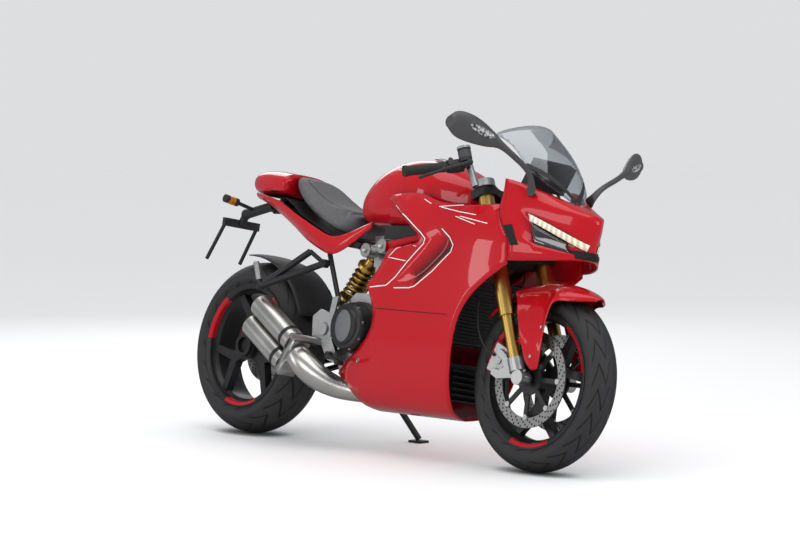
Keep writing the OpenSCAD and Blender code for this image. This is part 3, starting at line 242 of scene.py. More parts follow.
def patterned(m, kind, scale, low):
    """Small cells or ribs moulded into a lens, drawn as painted shade that darkens their valleys."""
    n, l = m.node_tree.nodes, m.node_tree.links
    co, tex = n.new("ShaderNodeTexCoord"), n.new("ShaderNodeTexVoronoi" if kind == "cells" else "ShaderNodeTexWave")
    tex.inputs["Scale"].default_value = scale
    l.new(co.outputs["Object"], tex.inputs["Vector"])
    valley_shade, mix = n.new("ShaderNodeMapRange"), n.new("ShaderNodeMix")
    mix.data_type, mix.blend_type = "RGBA", "MULTIPLY"
    mix.inputs[0].default_value = 1
    valley_shade.inputs["From Max"].default_value = 0.7 if kind == "cells" else 1.0
    valley_shade.inputs["To Min"].default_value = 1.0 if kind == "cells" else low
    valley_shade.inputs["To Max"].default_value = low if kind == "cells" else 1.0
    l.new(tex.outputs["Distance" if kind == "cells" else "Fac"], valley_shade.inputs["Value"])
    g = grain_and_shade_node(n)
    b = n["Principled BSDF"]
    l.new(g.outputs["Colour"], mix.inputs[6]); l.new(valley_shade.outputs["Result"], mix.inputs[7])
    l.new(mix.outputs[2], b.inputs["Base Color"])
    if b.inputs["Emission Strength"].default_value:
        l.new(mix.outputs[2], b.inputs["Emission Color"])


patterned(MAT["pale_lens"], "cells", 110, 0.05)
patterned(MAT["lamp_white"], "ribs", 22, 0.6)
patterned(MAT["amber"], "cells", 120, 0.4)
patterned(MAT["tail_red"], "cells", 120, 0.4)


def louvre_shaded(m, start, end, reach):
    """Paint with painted shade that darkens it into a louvre's recess behind its edge, from start to end in x and z,
    as far as reach.
    """
    n, l = m.node_tree.nodes, m.node_tree.links
    calc, place = maths(n, l), upright_place(n, l, start)
    long = math.dist(start, end)
    ux, uz = (end[0] - start[0]) / long, (end[1] - start[1]) / long

    def ramp(value, low, high, first, last):
        q = n.new("ShaderNodeMapRange"); q.interpolation_type = "SMOOTHSTEP"
        q.inputs["From Min"].default_value, q.inputs["From Max"].default_value = low / 1000, high / 1000
        q.inputs["To Min"].default_value, q.inputs["To Max"].default_value = first, last
        l.new(value, q.inputs["Value"])
        return q.outputs["Result"]

    deep = calc("ADD", calc("MULTIPLY", place[0], uz), calc("MULTIPLY", place[2], -ux))
    along = calc("ADD", calc("MULTIPLY", place[0], ux), calc("MULTIPLY", place[2], uz))
    ends = calc("MULTIPLY", ramp(along, -45, 0, 0, 1), ramp(along, long - 20, long + 20, 1, 0))
    # painted shade: strongest just behind the edge, fading out by reach and at both ends
    mask = calc("MULTIPLY", calc("MULTIPLY", ramp(deep, -4, 0, 0, 1), ramp(deep, 0, reach, 1, 0)), ends)
    mix = n.new("ShaderNodeMix"); mix.data_type = "RGBA"; mix.blend_type = "MULTIPLY"
    mix.inputs[0].default_value = 1
    g = grain_and_shade_node(n)
    l.new(g.outputs["Colour"], mix.inputs[6]); l.new(calc("MULTIPLY_ADD", mask, -0.93, 1), mix.inputs[7])
    l.new(mix.outputs[2], n["Principled BSDF"].inputs["Base Color"])
    return m


def two_tone(m, behind, colour):
    """Bare metal behind a place along the bike, paint ahead of it."""
    n, l = m.node_tree.nodes, m.node_tree.links
    co, sep, mask, mix = (n.new("ShaderNodeTexCoord"), n.new("ShaderNodeSeparateXYZ"), n.new("ShaderNodeMath"),
                          n.new("ShaderNodeMix"))
    mask.operation, mix.data_type = "LESS_THAN", "RGBA"
    mask.inputs[1].default_value = behind
    mix.inputs[7].default_value = (*colour, 1)
    l.new(co.outputs["Object"], sep.inputs[0]); l.new(sep.outputs[0], mask.inputs[0])
    g = grain_and_shade_node(n)
    b = n["Principled BSDF"]
    l.new(mask.outputs[0], mix.inputs[0]); l.new(g.outputs["Colour"], mix.inputs[6])
    l.new(mix.outputs[2], b.inputs["Base Color"]); l.new(mask.outputs[0], b.inputs["Metallic"])


# fairing paint with painted shade in the recess behind the lower louvre's edge
MAT["fairing_right"] = MAT["fairing_left"] = louvre_shaded(
    finish_mat("fairing_paint", RED, 0.3, coat=0.8, scale=3, drift=0.06, grain=0.012, edge=0.0012),
    (417, 688), (262, 574), 85)
MAT["frame"] = finish_mat("frame_paint", (0.44, 0.003, 0.010), 0.36, coat=0.5, scale=3, drift=0.06, grain=0.02,
                          edge=0.0012)
two_tone(MAT["frame"], 0.048, (0.5, 0.5, 0.49))
MAT["front_discs"] = MAT["rear_disc"] = finish_mat("disc_steel", (0.4, 0.4, 0.39), 0.46, metal=1, scale=40, drift=0.2,
                                                   grain=0.15)
MAT["front_tyre"] = tyre_mat("front_tyre", FRONT, 0.062, 22)
MAT["rear_tyre"] = tyre_mat("rear_tyre", REAR, 0.093, 20)


# pieces

def link(name, mesh, mat, body):
    """Object at the origin that rides on a body."""
    ob = bpy.data.objects.new(name, mesh)
    bpy.context.scene.collection.objects.link(ob)
    mesh.materials.clear()
    mesh.materials.append(mat)
    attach(ob, body)
    return ob


def subdivide(ob, levels):
    sub = ob.modifiers.new("smooth", "SUBSURF")
    sub.levels = sub.render_levels = levels


def edges_by_angle(bm, degrees, crease):
    """Edges that turn by more than an angle become creases or are shaded sharp."""
    limit = math.radians(degrees)
    layer = bm.edges.layers.float.get("crease_edge") or bm.edges.layers.float.new("crease_edge")
    for e in bm.edges:
        turned = len(e.link_faces) != 2 or e.calc_face_angle(0) > limit
        if crease:
            e[layer] = 1.0 if turned else 0.0
        else:
            e.smooth = not turned
    for f in bm.faces:
        f.smooth = True


def dress(node, mat, levels):
    """A merged, smooth-shaded copy of a CAD node takes its place."""
    mesh = NODES[node].data.copy()
    mesh.name = node
    bm = bmesh.new()
    bm.from_mesh(mesh)
    bmesh.ops.remove_doubles(bm, verts=bm.verts, dist=2e-5)
    if levels:
        bmesh.ops.join_triangles(bm, faces=bm.faces, angle_face_threshold=math.radians(40),
                                 angle_shape_threshold=math.radians(170))
    edges_by_angle(bm, LOFT_SMOOTH_BELOW if levels else SMOOTH_BELOW, levels > 0)
    bm.to_mesh(mesh)
    bm.free()
    ob = link(node + "_skin", mesh, mat, BODY[node])
    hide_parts(node)
    if levels:
        subdivide(ob, levels)
    return ob


def piece(name, mat, body, build, thick=0):
    """A new piece, drawn on the upright bike in millimetres; a sheet is made thick."""
    bm = bmesh.new()
    build(bm)
    if thick:
        bmesh.ops.solidify(bm, geom=bm.faces[:], thickness=thick)
    bmesh.ops.recalc_face_normals(bm, faces=bm.faces)
    bmesh.ops.transform(bm, matrix=PARK, verts=bm.verts)
    edges_by_angle(bm, SMOOTH_BELOW, False)
    mesh = bpy.data.meshes.new(name)
    bm.to_mesh(mesh)
    bm.free()
    link(name, mesh, mat, body)


def stuffed(ob, rests, voxel=0.006, pressure=4, frames=20, cap=0.012):
    """Blow a pad up under its cover by a cloth simulation, held where rests(place, normal) says so."""
    ob.modifiers.new("even", "REMESH").voxel_size = voxel
    mesh = bpy.data.meshes.new_from_object(ob.evaluated_get(bpy.context.evaluated_depsgraph_get()))
    ob.modifiers.clear()
    bm = bmesh.new()
    bm.from_mesh(mesh)
    for _ in range(4):
        bmesh.ops.smooth_vert(bm, verts=bm.verts, factor=0.5, use_axis_x=True, use_axis_y=True, use_axis_z=True)
    bm.normal_update()
    bm.to_mesh(mesh)
    held = [v.index for v in bm.verts if rests(UNPARK @ v.co, v.normal)]
    bm.free()
    ob.data = mesh
    ob.vertex_groups.new(name="held").add(held, 1.0, "REPLACE")
    start = [v.co.copy() for v in mesh.vertices]
    cloth = ob.modifiers.new("pad", "CLOTH")
    cloth.settings.use_pressure, cloth.settings.uniform_pressure_force = True, pressure
    cloth.settings.vertex_group_mass = "held"
    cloth.settings.effector_weights.gravity = 0
    for k in range(1, frames + 1):
        bpy.context.scene.frame_set(k)
    blown = bpy.data.meshes.new_from_object(ob.evaluated_get(bpy.context.evaluated_depsgraph_get()))
    ob.modifiers.clear()
    for v, home in zip(blown.vertices, start):
        moved = v.co - home
        v.co = home + moved * min(1, cap / max(moved.length, 1e-9))
    ob.data = blown
    bpy.context.scene.frame_set(1)
    subdivide(ob, 1)


def seat_rests(p, normal):
    """The seat is held at both ends and on the middle of its underside."""
    return not -575 < p.x < -235 or (normal.z < -0.4 and abs(p.y) < 70)


# nodes with rounded sections and their subdivision levels
LOFTED = {"fuel_tank": 2, "seat_cowl": 2, "mirror_right": 2, "mirror_left": 2, "seat": 2, "tail_panel_right": 1,
          "tail_panel_left": 1, "undertail": 1, "fairing_right": 1, "fairing_left": 1, "nose_fairing": 1,
          "windscreen": 1, "front_fender": 1, "exhaust_pipe": 1, "rear_hugger": 1, "headlamp_lenses": 1,
          "running_lamps": 1, "brake_hoses": 1}
# a node named in MAT has a material of its own, any other takes its slot's
SKINS = {node: dress(node, MAT.get(node) or MAT[SLOT[node]], LOFTED.get(node, 0)) for node in NODES}
stuffed(SKINS["seat"], seat_rests)

# shapes for the details, on the upright bike in millimetres

TREES = {}


def tree(node):
    """Search tree of a node's skin as it is shown."""
    if node not in TREES:
        bm = bmesh.new()
        bm.from_object(SKINS[node], bpy.context.evaluated_depsgraph_get())
        bmesh.ops.transform(bm, matrix=UNPARK, verts=bm.verts)
        TREES[node] = BVHTree.FromBMesh(bm)
        bm.free()
    return TREES[node]


def touch(node, start, way, lift=0.6):
    """Place and outward normal where a line meets a node."""
    way = Vector(way).normalized()
    hit, normal, _, _ = tree(node).ray_cast(Vector(start), way)
    if hit is None:
        return None
    if normal.dot(way) > 0:
        normal = -normal
    return hit + normal * lift, normal


def aimed(a, b):
    """Frame midway between two points with its Z from the first to the second."""
    a, b = Vector(a), Vector(b)
    return Matrix.Translation((a + b) / 2) @ (b - a).to_track_quat("Z", "Y").to_matrix().to_4x4()


def bar(bm, a, b, r, r2=None, n=24):
    """Round bar between two points, tapered to r2."""
    bmesh.ops.create_cone(bm, cap_ends=True, segments=n, radius1=r, radius2=r if r2 is None else r2,
                          depth=(Vector(b) - Vector(a)).length, matrix=aimed(a, b))


def bolt(bm, p, way, r=7, h=5):
    """Bolt head with a sunk socket."""
    p, way = Vector(p), Vector(way).normalized()
    made = bmesh.ops.create_cone(bm, cap_ends=True, segments=18, radius1=r, radius2=r * 0.92, depth=h + 2,
                                 matrix=aimed(p - way * 2, p + way * h))["verts"]
    faces = {f for v in made for f in v.link_faces}
    top = max(faces, key=lambda f: f.calc_center_median().dot(way))
    bmesh.ops.inset_region(bm, faces=[top], thickness=r * 0.42)
    bmesh.ops.translate(bm, verts=top.verts, vec=-way * h * 0.6)


def wheel_band(bm, axle, profile, start=0, sweep=360, steps=96):
    """Profile of radius and y turned about an axle."""
    a = math.radians(start)
    ring = [bm.verts.new((axle[0] + r * math.cos(a), y, axle[1] + r * math.sin(a))) for r, y in profile]
    edges = [bm.edges.new((ring[k], ring[k + 1])) for k in range(len(ring) - 1)]
    if sweep == 360:
        edges.append(bm.edges.new((ring[-1], ring[0])))
    bmesh.ops.spin(bm, geom=ring + edges, cent=(axle[0], 0, axle[1]), axis=(0, -1, 0), angle=math.radians(sweep),
                   steps=steps, use_merge=sweep == 360)


def sheet_rows(bm, nu, nv):
    """Points of a new grid with their shares of its width and height."""
    verts = bmesh.ops.create_grid(bm, x_segments=nu, y_segments=nv, size=1)["verts"]
    return [(v, (v.co.x + 1) / 2, (v.co.y + 1) / 2) for v in verts]


def patch(bm, node, corners, way=(0, 1, 0), lift=0.7, nu=10, nv=5, round_off=False):
    """Sheet between four corners, or the oval inside them, laid on a node along way."""
    a, b, c, d = (Vector(p) for p in corners)
    way = Vector(way).normalized()
    missed = []
    for v, u, w in sheet_rows(bm, nu, nv):
        if round_off:
            x, y = 2 * u - 1, 2 * w - 1
            u, w = 0.5 + x * math.sqrt(1 - y * y / 2) / 2, 0.5 + y * math.sqrt(1 - x * x / 2) / 2
        p = (a * (1 - u) + b * u) * (1 - w) + (d * (1 - u) + c * u) * w
        got = touch(node, p - way * 500, way, lift)
        if got:
            v.co = got[0]
        else:
            missed.append(v)
    bmesh.ops.delete(bm, geom=missed, context="VERTS")


def ribbon(bm, node, starts, way, width, lift=0.7):
    """Narrow band on a node where lines from the start points meet it."""
    spots, last = [], None
    for k, p in enumerate(starts):
        got = touch(node, p, way, lift) or last
        last = got
        if got:
            along = Vector(starts[min(k + 1, len(starts) - 1)]) - Vector(starts[max(k - 1, 0)])
            spots.append((got[0], got[1].cross(along).normalized() * width / 2))
    if len(spots) < 2:
        return
    for v, u, w in sheet_rows(bm, len(spots) - 1, 1):
        p, across = spots[round(u * (len(spots) - 1))]
        v.co = p + across * (2 * w - 1)


def strip(bm, node, path, width, side=-1, lift=0.7, steps=5):
    """Narrow band on a node's side along a path of x and z."""
    line = []
    for (x0, z0), (x1, z1) in zip(path, path[1:]):
        line += [(x0 + (x1 - x0) * k / steps, side * 700, z0 + (z1 - z0) * k / steps) for k in range(steps)]
    line.append((path[-1][0], side * 700, path[-1][1]))
    ribbon(bm, node, line, (0, -side, 0), width, lift)


def steered(x, y, s):
    """Point in the steering's own frame: ahead of the axis, left, up along it."""
    t = math.radians(24)
    return Vector((830 - s * math.sin(t) + x * math.cos(t), y, s * math.cos(t) + x * math.sin(t)))


# wheels: coloured rim bands, the discs' drilled holes and the sprocket's slots as spots of painted shade, carriers,
# bobbins, and bolts of the sprocket

def rim_bands(axle, half):
    """Three arcs along both flanks of a rim of this half width."""
    def build(bm):
        for side in (-1, 1):
            profile = [(206.3, side * (half - 21)), (208.3, side * (half - 6.5)), (222.4, side * (half + 0.5))]
            for k in range(3):
                wheel_band(bm, axle, profile, 10 + 120 * k, 46, 16)
    return build


piece("front_rim_bands", MAT["red_paint"], "front_wheel", rim_bands(FRONT, 51.5), thick=SHEET)
piece("rear_rim_bands", MAT["red_paint"], "rear_wheel", rim_bands(REAR, 78), thick=SHEET)


def disc_holes(axle, faces, rings, count):
    """Dark spots of painted shade standing for the drilled holes on a disc's faces, given by their y, in rings of
    these radii.
    """
    def build(bm):
        for y in faces:
            for k in range(count):
                for j, r in enumerate(rings):
                    a = 2 * math.pi * (k + 0.33 * (j % 3)) / count
                    place = Matrix.Translation((axle[0] + r * math.cos(a), y, axle[1] + r * math.sin(a)))
                    bmesh.ops.create_circle(bm, cap_ends=True, segments=12, radius=3.4,
                                            matrix=place @ Matrix.Rotation(math.pi / 2, 4, "X"))
    return build


piece("front_disc_holes", MAT["dark_joint_and_opening_shade"], "front_wheel",
      disc_holes(FRONT, (-67.7, -62.3, 62.3, 67.7), (134, 141.5, 149, 156), 30), thick=SHEET)
piece("rear_disc_holes", MAT["dark_joint_and_opening_shade"], "rear_wheel",
      disc_holes(REAR, (31.3, 36.7), (96, 104, 112), 26), thick=SHEET)


def carriers(bm):
    for y in (-65, 65):
        wheel_band(bm, FRONT, [(26, y - 3.4), (26, y + 3.4), (52, y + 3.4), (52, y - 3.4)])
        for k in range(8):
            a = 2 * math.pi * k / 8
            way = Vector((math.cos(a), 0, math.sin(a)))
            centre = Vector((FRONT[0], y, FRONT[1])) + way * 86
            turn = Matrix.Rotation(-a, 4, "Y")
            bmesh.ops.create_cube(bm, size=1,
                                  matrix=Matrix.Translation(centre) @ turn @ Matrix.Diagonal((74, 6.8, 16, 1)))


piece("disc_carriers", MAT["black_metal"], "front_wheel", carriers)


def bobbins(bm):
    for y in (-65, 65):
        for k in range(8):
            a = 2 * math.pi * k / 8
            p = Vector((FRONT[0] + 125 * math.cos(a), y, FRONT[1] + 125 * math.sin(a)))
            bar(bm, p - Vector((0, 4.3, 0)), p + Vector((0, 4.3, 0)), 9, n=20)
            bar(bm, p - Vector((0, 4.8, 0)), p + Vector((0, 4.8, 0)), 4, n=16)


piece("disc_bobbins", MAT["silver_metal"], "front_wheel", bobbins)


# painted shade: dark round spots stand for the sprocket's lightening holes
def sprocket_slots(bm):
    for k in range(6):
        a = 2 * math.pi * k / 6
        for turn in (-0.16, 0, 0.16):
            spot = (REAR[0] + 78 * math.cos(a + turn), 400, REAR[1] + 78 * math.sin(a + turn))
            got = touch("rear_sprocket", spot, (0, -1, 0))
            if got:
                bmesh.ops.create_circle(bm, cap_ends=True, segments=24, radius=11,
                                        matrix=Matrix.Translation(got[0]) @ Matrix.Rotation(math.pi / 2, 4, "X"))


piece("sprocket_slots", MAT["dark_joint_and_opening_shade"], "rear_wheel", sprocket_slots, thick=SHEET)


def sprocket_bolts(bm):
    for k in range(6):
        a = 2 * math.pi * (k + 0.5) / 6
        got = touch("rear_sprocket", (REAR[0] + 60 * math.cos(a), 400, REAR[1] + 60 * math.sin(a)), (0, -1, 0), 0)
        if got:
            bolt(bm, got[0], (0, 1, 0), 7, 4)


piece("sprocket_bolts", MAT["steel"], "rear_wheel", sprocket_bolts)


# body: white lines along the louvres, painted highlight streaks on the shoulders and tank, seams, vents filled with
# painted shade

HOOK_1 = [(88, 833), (165, 795), (257, 745), (282, 727), (277, 710), (210, 652), (155, 599), (112, 570), (31, 560)]
HOOK_2 = [(358, 760), (403, 734), (425, 710), (417, 688), (337, 624), (262, 574), (237, 567), (161, 562)]
# painted highlights: white streaks where light glints on the fairing's shoulders and on the tank
PAINTED_HIGHLIGHTS = [[(334, 838), (432, 824), (512, 816)], [(323, 840), (421, 847), (518, 852), (620, 863)],
           [(417, 808), (518, 784)], [(438, 809), (573, 789)], [(238, 864), (279, 849)],
           [(232, 702), (157, 713), (93, 660), (190, 650)]]
TANK_PAINTED_HIGHLIGHTS = [[(30, 969), (137, 963)], [(162, 993), (254, 988)]]


def grown(path, middle, by):
    """Path moved away from a middle point, off the louvre's edge onto the panel around it."""
    out = []
    for x, z in path:
        far = math.hypot(x - middle[0], z - middle[1])
        out.append((x + by * (x - middle[0]) / far, z + by * (z - middle[1]) / far))
    return out


def louvre_lines_and_painted_highlights(bm):
    for side, word in SIDES:
        strip(bm, "fairing_" + word, grown(HOOK_1, (90, 700), 8), 3.2, side)
        strip(bm, "fairing_" + word, grown(HOOK_2, (250, 690), 8), 3.2, side)
        # painted highlights on the fairing, then on the tank
        for path in PAINTED_HIGHLIGHTS:
            strip(bm, "fairing_" + word, path, 2.6, side)
        for path in TANK_PAINTED_HIGHLIGHTS:
            strip(bm, "fuel_tank", path, 2.4, side)


piece("louvre_lines_and_painted_highlights", MAT["white_line_and_painted_highlight"], "bike", louvre_lines_and_painted_highlights, thick=SHEET)


def seams(bm):
    for side, word in SIDES:
        strip(bm, "fairing_" + word, [(60, 482), (180, 481), (300, 480), (430, 480)], 2.2, side)
        strip(bm, "seat_cowl", [(-640, 884), (-700, 886)], 9, side)


piece("body_seams", MAT["dark_joint_and_opening_shade"], "bike", seams, thick=SHEET)


# painted shade: dark patches stand for the side vents' openings
def side_vents(bm):
    for side, word in SIDES:
        patch(bm, "nose_fairing", [(640, side * 600, 786), (672, side * 600, 792), (712, side * 600, 726),
                                   (684, side * 600, 722)], (0, -side, 0), 0.8, 8, 10)


piece("side_vents", MAT["dark_joint_and_opening_shade"], "bike", side_vents, thick=SHEET)


# painted shade: a dark patch stands for the intake opening between the lamps
def mouth(bm):
    patch(bm, "nose_fairing", [(1400, -66, 728), (1400, 66, 728), (1400, 52, 702), (1400, -52, 702)], (-1, 0, 0),
          0.9, 20, 6)


piece("nose_mouth", MAT["dark_joint_and_opening_shade"], "bike", mouth, thick=SHEET)


def inner_panels(bm):
    """Dark sheets that close the view: the seat's base, and one panel on each side under the tank."""
    rows = [(-668, 82, 864), (-600, 92, 863), (-540, 102, 838), (-480, 113, 806), (-420, 124, 785), (-360, 132, 763),
            (-300, 136, 742), (-240, 134, 727)]
    for v, u, w in sheet_rows(bm, len(rows) - 1, 4):
        x, half, z = rows[round(u * (len(rows) - 1))]
        v.co = (x, half * (2 * w - 1), z)
    for side, _ in SIDES:
        for v, u, w in sheet_rows(bm, 6, 1):
            v.co = (-30 + 330 * u, side * (96 - 14 * u), 730 + 14 * u + 46 * w)


piece("inner_panels", MAT["black_plastic"], "bike", inner_panels, thick=2)


# fastenings

def side_bolts(bm):
    for side, word in SIDES:
        for node, x, z, r, h in (("frame", -62, 682, 11, 5), ("frame", 19, 700, 11, 5),
                                 ("fairing_" + word, -26, 300, 10, 2)):
            got = touch(node, (x, side * 700, z), (0, -side, 0), 0)
            if got:
                bolt(bm, got[0], got[1], r, h)
    for node, centre, r, count in (("clutch_cover", (-84, 412), 83, 9), ("alternator_cover", (70, 404), 77, 8)):
        side = -1 if node == "clutch_cover" else 1
        for k in range(count):
            a = 2 * math.pi * (k + 0.3) / count
            spot = (centre[0] + r * math.cos(a), side * 700, centre[1] + r * math.sin(a))
            got = touch(node, spot, (0, -side, 0), 0)
            if got:
                bolt(bm, got[0], (0, side, 0), 5, 4)
    for k in range(6):
        a = 2 * math.pi * k / 6
        got = touch("filler_cap", (150 + 37 * math.cos(a), 37 * math.sin(a), 1100), (0, 0, -1), 0)
        if got:
            bolt(bm, got[0], (0.1, 0, 1), 4, 2)


piece("side_bolts", MAT["steel"], "bike", side_bolts)


def fork_bolts(bm):
    for side, _ in SIDES:
        for x, z in ((770, 372), (792, 470)):
            got = touch("front_fender", (x, side * 700, z), (0, -side, 0), 0)
            if got:
                bolt(bm, got[0], got[1], 6, 3)
        for s in (330, 352):
            got = touch("fork_bottoms", steered(2, side * 107, s) + Vector((120, 0, 0)), (-1, 0, 0), 0)
            if got:
                bolt(bm, got[0], got[1], 5, 4)


piece("fork_bolts", MAT["steel"], "steering", fork_bolts)


def piston_caps(bm):
    for side, _ in SIDES:
        got = touch("front_calipers", (612, side * 700, 352), (0, -side, 0), 0)
        if got:
            bar(bm, got[0] - Vector((0, side * 3, 0)), got[0] + Vector((0, side * 4, 0)), 18, 15, n=28)
            bar(bm, got[0], got[0] + Vector((0, side * 5, 0)), 9, 8, n=20)


piece("piston_caps", MAT["silver_metal"], "steering", piston_caps)


# engine side: bare oval insert on the clutch cover

def clutch_insert(bm):
    got = touch("clutch_cover", (-84, -700, 412), (0, 1, 0), 0)
    if got:
        shape = Matrix.Translation(got[0]) @ Matrix.Diagonal((40, 5, 56, 1))
        bmesh.ops.create_uvsphere(bm, u_segments=32, v_segments=16, radius=1, matrix=shape)


piece("clutch_insert", MAT["cast_grey"], "bike", clutch_insert)


# hand controls: ribbed grips, switch blocks, stop button, reservoirs; passenger pegs; mirror lenses and glasses

# a clip-on bar's two ends in the steering's frame, and the grip's radius
BAR_IN, BAR_OUT = Vector((20, 152, 1072)), Vector((-84, 360, 1056))
GRIP_R = 16


def on_bar(t, side, ahead=0, up=0):
    """Point at a share of the bar's length, or ahead of it and above it."""
    p = BAR_IN + (BAR_OUT - BAR_IN) * t
    return steered(p.x + ahead, side * p.y, p.z + up)


def grip_ribs(bm):
    for side, _ in SIDES:
        for k in range(15):
            t = 0.40 + 0.034 * k
            bar(bm, on_bar(t, side), on_bar(t + 0.014, side), GRIP_R + 1, n=28)


piece("grip_ribs", MAT["rubber"], "steering", grip_ribs)


def switch_blocks(bm):
    for side, _ in SIDES:
        bar(bm, on_bar(0.16, side), on_bar(0.33, side), 23.5, 22, n=28)
        p = on_bar(0.24, side)
        bar(bm, p + Vector((-14, 0, 14)), p + Vector((-20, 0, 24)), 9, 8, n=20)


piece("switch_blocks", MAT["black_plastic"], "steering", switch_blocks)


def reservoir(bm, low, high, r):
    """Ring around both fluid reservoirs between two heights over the bar."""
    for side, _ in SIDES:
        bar(bm, on_bar(0.14, side, 30, low), on_bar(0.14, side, 30, high), r, n=36)


piece("reservoir_lids", MAT["silver_metal"], "steering", lambda bm: reservoir(bm, 46, 54, 23.2))
piece("reservoir_windows", MAT["grey_plastic"], "steering", lambda bm: reservoir(bm, 12, 38, 22.5))


def passenger_pegs(bm):
    for side, _ in SIDES:
        a, b = Vector((-512, side * 226, 524)), Vector((-538, side * 238, 610))
        for k in range(9):
            t = 0.28 + 0.08 * k
            bar(bm, a + (b - a) * t, a + (b - a) * (t + 0.075), 11.6, 10.6, n=24)


piece("passenger_pegs", MAT["silver_metal"], "bike", passenger_pegs)


def red_button(bm):
    p = on_bar(0.24, -1)
    bar(bm, p + Vector((-18, 0, 20)), p + Vector((-23, 0, 28)), 6, 5, n=20)


piece("stop_button", MAT["tail_red"], "steering", red_button)


def mirror_lens(bm):
    for side, word in SIDES:
        patch(bm, "mirror_" + word, [(800, side * 412, 1092), (800, side * 322, 1062), (800, side * 330, 1040),
                                     (800, side * 400, 1062)], (-1, 0, 0), 1.2, 20, 10, True)


piece("mirror_lenses", MAT["pale_lens"], "bike", mirror_lens, thick=SHEET)


def mirror_glass(bm):
    for side, word in SIDES:
        patch(bm, "mirror_" + word, [(400, side * 345, 1076), (400, side * 436, 1100), (400, side * 436, 1058),
                                     (400, side * 345, 1030)], (1, 0, 0), 1.0, 16, 12, True)


piece("mirror_glasses", MAT["mirror_glass"], "bike", mirror_glass, thick=SHEET)


# screen: dark band along its foot, glass of the dash

def screen_foot(bm):
    for side, _ in SIDES:
        starts = [(1300, side * (4 + 128 * t), 890 + 104 * t + 10 * math.sin(math.pi * t))
                  for t in (k / 14 for k in range(15))]
        ribbon(bm, "windscreen", starts, (-1, 0, 0), 16, 0.8)


piece("screen_foot", MAT["black_plastic"], "bike", screen_foot, thick=SHEET)


def dash_glass(bm):
    patch(bm, "dash", [(200, -70, 1012), (200, 70, 1012), (200, 70, 956), (200, -70, 956)], (1, 0, 0), 0.8, 12, 8)


piece("dash_glass", MAT["dash_glass"], "bike", dash_glass, thick=SHEET)


# seat: stitched line around its middle

def seat_lines(bm):
    run = [(x, 74 - 0.0004 * (x + 465) ** 2) for x in range(-250, -464, -12)]
    bend = [(-470 - 82 * math.sin(a), 74 * math.cos(a)) for a in (math.pi * k / 24 for k in range(25))]
    back = [(x, -y) for x, y in reversed(run)]
    ribbon(bm, "seat", [(x, y, 1300) for x, y in run + bend + back], (0, 0, -1), 2.6, 0.5)


piece("seat_lines", MAT["rubber"], "bike", seat_lines, thick=SHEET)


# tail: lamp, indicators, reflector

def tail_lamp(bm):
    patch(bm, "seat_cowl", [(-1300, -58, 936), (-1300, 58, 936), (-1300, 50, 914), (-1300, -50, 914)], (1, 0, 0),
          0.8, 20, 6)


piece("tail_lamp", MAT["tail_red"], "bike", tail_lamp, thick=SHEET)


def indicators(bm):
    for side, _ in SIDES:
        bar(bm, (-880, side * 108, 840.4), (-880, side * 146, 845.4), 15.6, 14.8, n=28)


piece("indicator_lenses", MAT["amber"], "bike", indicators)


def reflector(bm):
    bar(bm, (-961, 0, 767), (-966, 0, 767), 14, 13, n=28)


piece("reflector", MAT["pale_lens"], "bike", reflector)


# exhaust: clamp bands, and outlets filled with painted shade

# the cans' direction, and the middle of each outlet
CAN_WAY = Vector((-0.866, 0, 0.5))
OUTLETS = [UNPARK @ Vector((-0.51845, -0.29011, 0.47646)), UNPARK @ Vector((-0.56045, -0.29683, 0.40378))]


def clamps(bm):
    for p in OUTLETS:
        bar(bm, p - CAN_WAY * 196, p - CAN_WAY * 182, 44.6, n=48)


piece("can_clamps", MAT["black_metal"], "bike", clamps)


# painted shade: dark discs fill the outlets' insides
def outlets(bm):
    for p in OUTLETS:
        bar(bm, p - CAN_WAY * 6, p - CAN_WAY * 4, 28.4, n=40)


piece("can_outlets", MAT["dark_joint_and_opening_shade"], "bike", outlets)


# stage: pale floor running into the backdrop, soft boxes, the photograph's viewpoint

def floor_piece():
    bm = bmesh.new()
    bmesh.ops.create_grid(bm, x_segments=1, y_segments=1, size=40)
    mesh = bpy.data.meshes.new("floor")
    bm.to_mesh(mesh)
    bm.free()
    ob = bpy.data.objects.new("floor", mesh)
    bpy.context.scene.collection.objects.link(ob)
    m = finish_mat("floor", (0.82, 0.82, 0.82), 0.75, scale=1.5, drift=0.01, grain=0, edge=0)
    n, l = m.node_tree.nodes, m.node_tree.links
    # painted reflection: rays from shiny parts see the floor as a darker grey (0.26) than the camera sees it
    path, mix = n.new("ShaderNodeLightPath"), n.new("ShaderNodeMix")
    mix.data_type = "RGBA"
    g = grain_and_shade_node(n)
    l.new(path.outputs["Is Glossy Ray"], mix.inputs[0]); l.new(g.outputs["Colour"], mix.inputs[6])
    mix.inputs[7].default_value = (0.26, 0.26, 0.27, 1)
    l.new(mix.outputs[2], n["Principled BSDF"].inputs["Base Color"])
    mesh.materials.append(m)


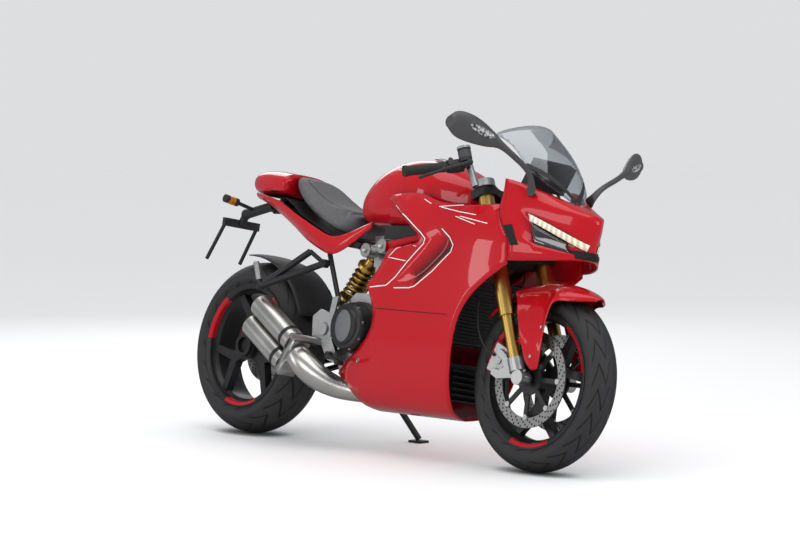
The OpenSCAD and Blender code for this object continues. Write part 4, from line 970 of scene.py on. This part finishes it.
def lamp(name, place, aim, size, power):
    data = bpy.data.lights.new(name, "AREA")
    data.shape, data.size, data.size_y, data.energy = "RECTANGLE", size[0], size[1], power
    ob = bpy.data.objects.new(name, data)
    ob.location = place
    ob.rotation_euler = (Vector(aim) - Vector(place)).to_track_quat("-Z", "Y").to_euler()
    bpy.context.scene.collection.objects.link(ob)


floor_piece()
lamp("top", (0.4, -0.6, 4.2), (0, 0, 0), (4.5, 3.0), 70)
lamp("side", (1.2, -5.0, 2.2), (0, 0, 0.6), (4.0, 1.6), 48)
lamp("front", (5.0, 0.8, 2.4), (0.3, 0, 0.6), (2.2, 2.2), 45)
lamp("strip", (-3.6, -5.4, 1.5), (0, 0, 0.6), (0.9, 2.4), 24)
lamp("rear", (-4.5, 2.5, 3.0), (0, 0, 0.6), (3.0, 2.0), 45)

world = bpy.data.worlds.new("studio")
bpy.context.scene.world = world
world.use_nodes = True
wn, wl = world.node_tree.nodes, world.node_tree.links
path = wn.new("ShaderNodeLightPath")


def sky(colour, strength):
    q = wn.new("ShaderNodeBackground")
    q.inputs["Color"].default_value = (*colour, 1); q.inputs["Strength"].default_value = strength
    return q.outputs[0]


def choose(ray, other, shown):
    q = wn.new("ShaderNodeMixShader")
    wl.new(path.outputs[ray], q.inputs["Fac"]); wl.new(other, q.inputs[1]); wl.new(shown, q.inputs[2])
    return q.outputs[0]


wn.remove(wn["Background"])
soft = choose("Is Glossy Ray", sky((0.97, 0.98, 1), 1.0), sky((0.9, 0.93, 1), 0.26))
wl.new(choose("Is Camera Ray", soft, sky((0.982, 0.992, 1), 0.737)), wn["World Output"].inputs["Surface"])

cam = bpy.data.cameras.new("camera")
cam.lens, cam.sensor_width = 119, 36
eye = bpy.data.objects.new("camera", cam)
eye.location = (6.8535, -6.233, 1.156)
aim = Vector((0.0, -0.10, 0.640))
eye.rotation_euler = (aim - eye.location).to_track_quat("-Z", "Y").to_euler()
bpy.context.scene.collection.objects.link(eye)
bpy.context.scene.camera = eye
bpy.context.scene.view_settings.view_transform = "Standard"
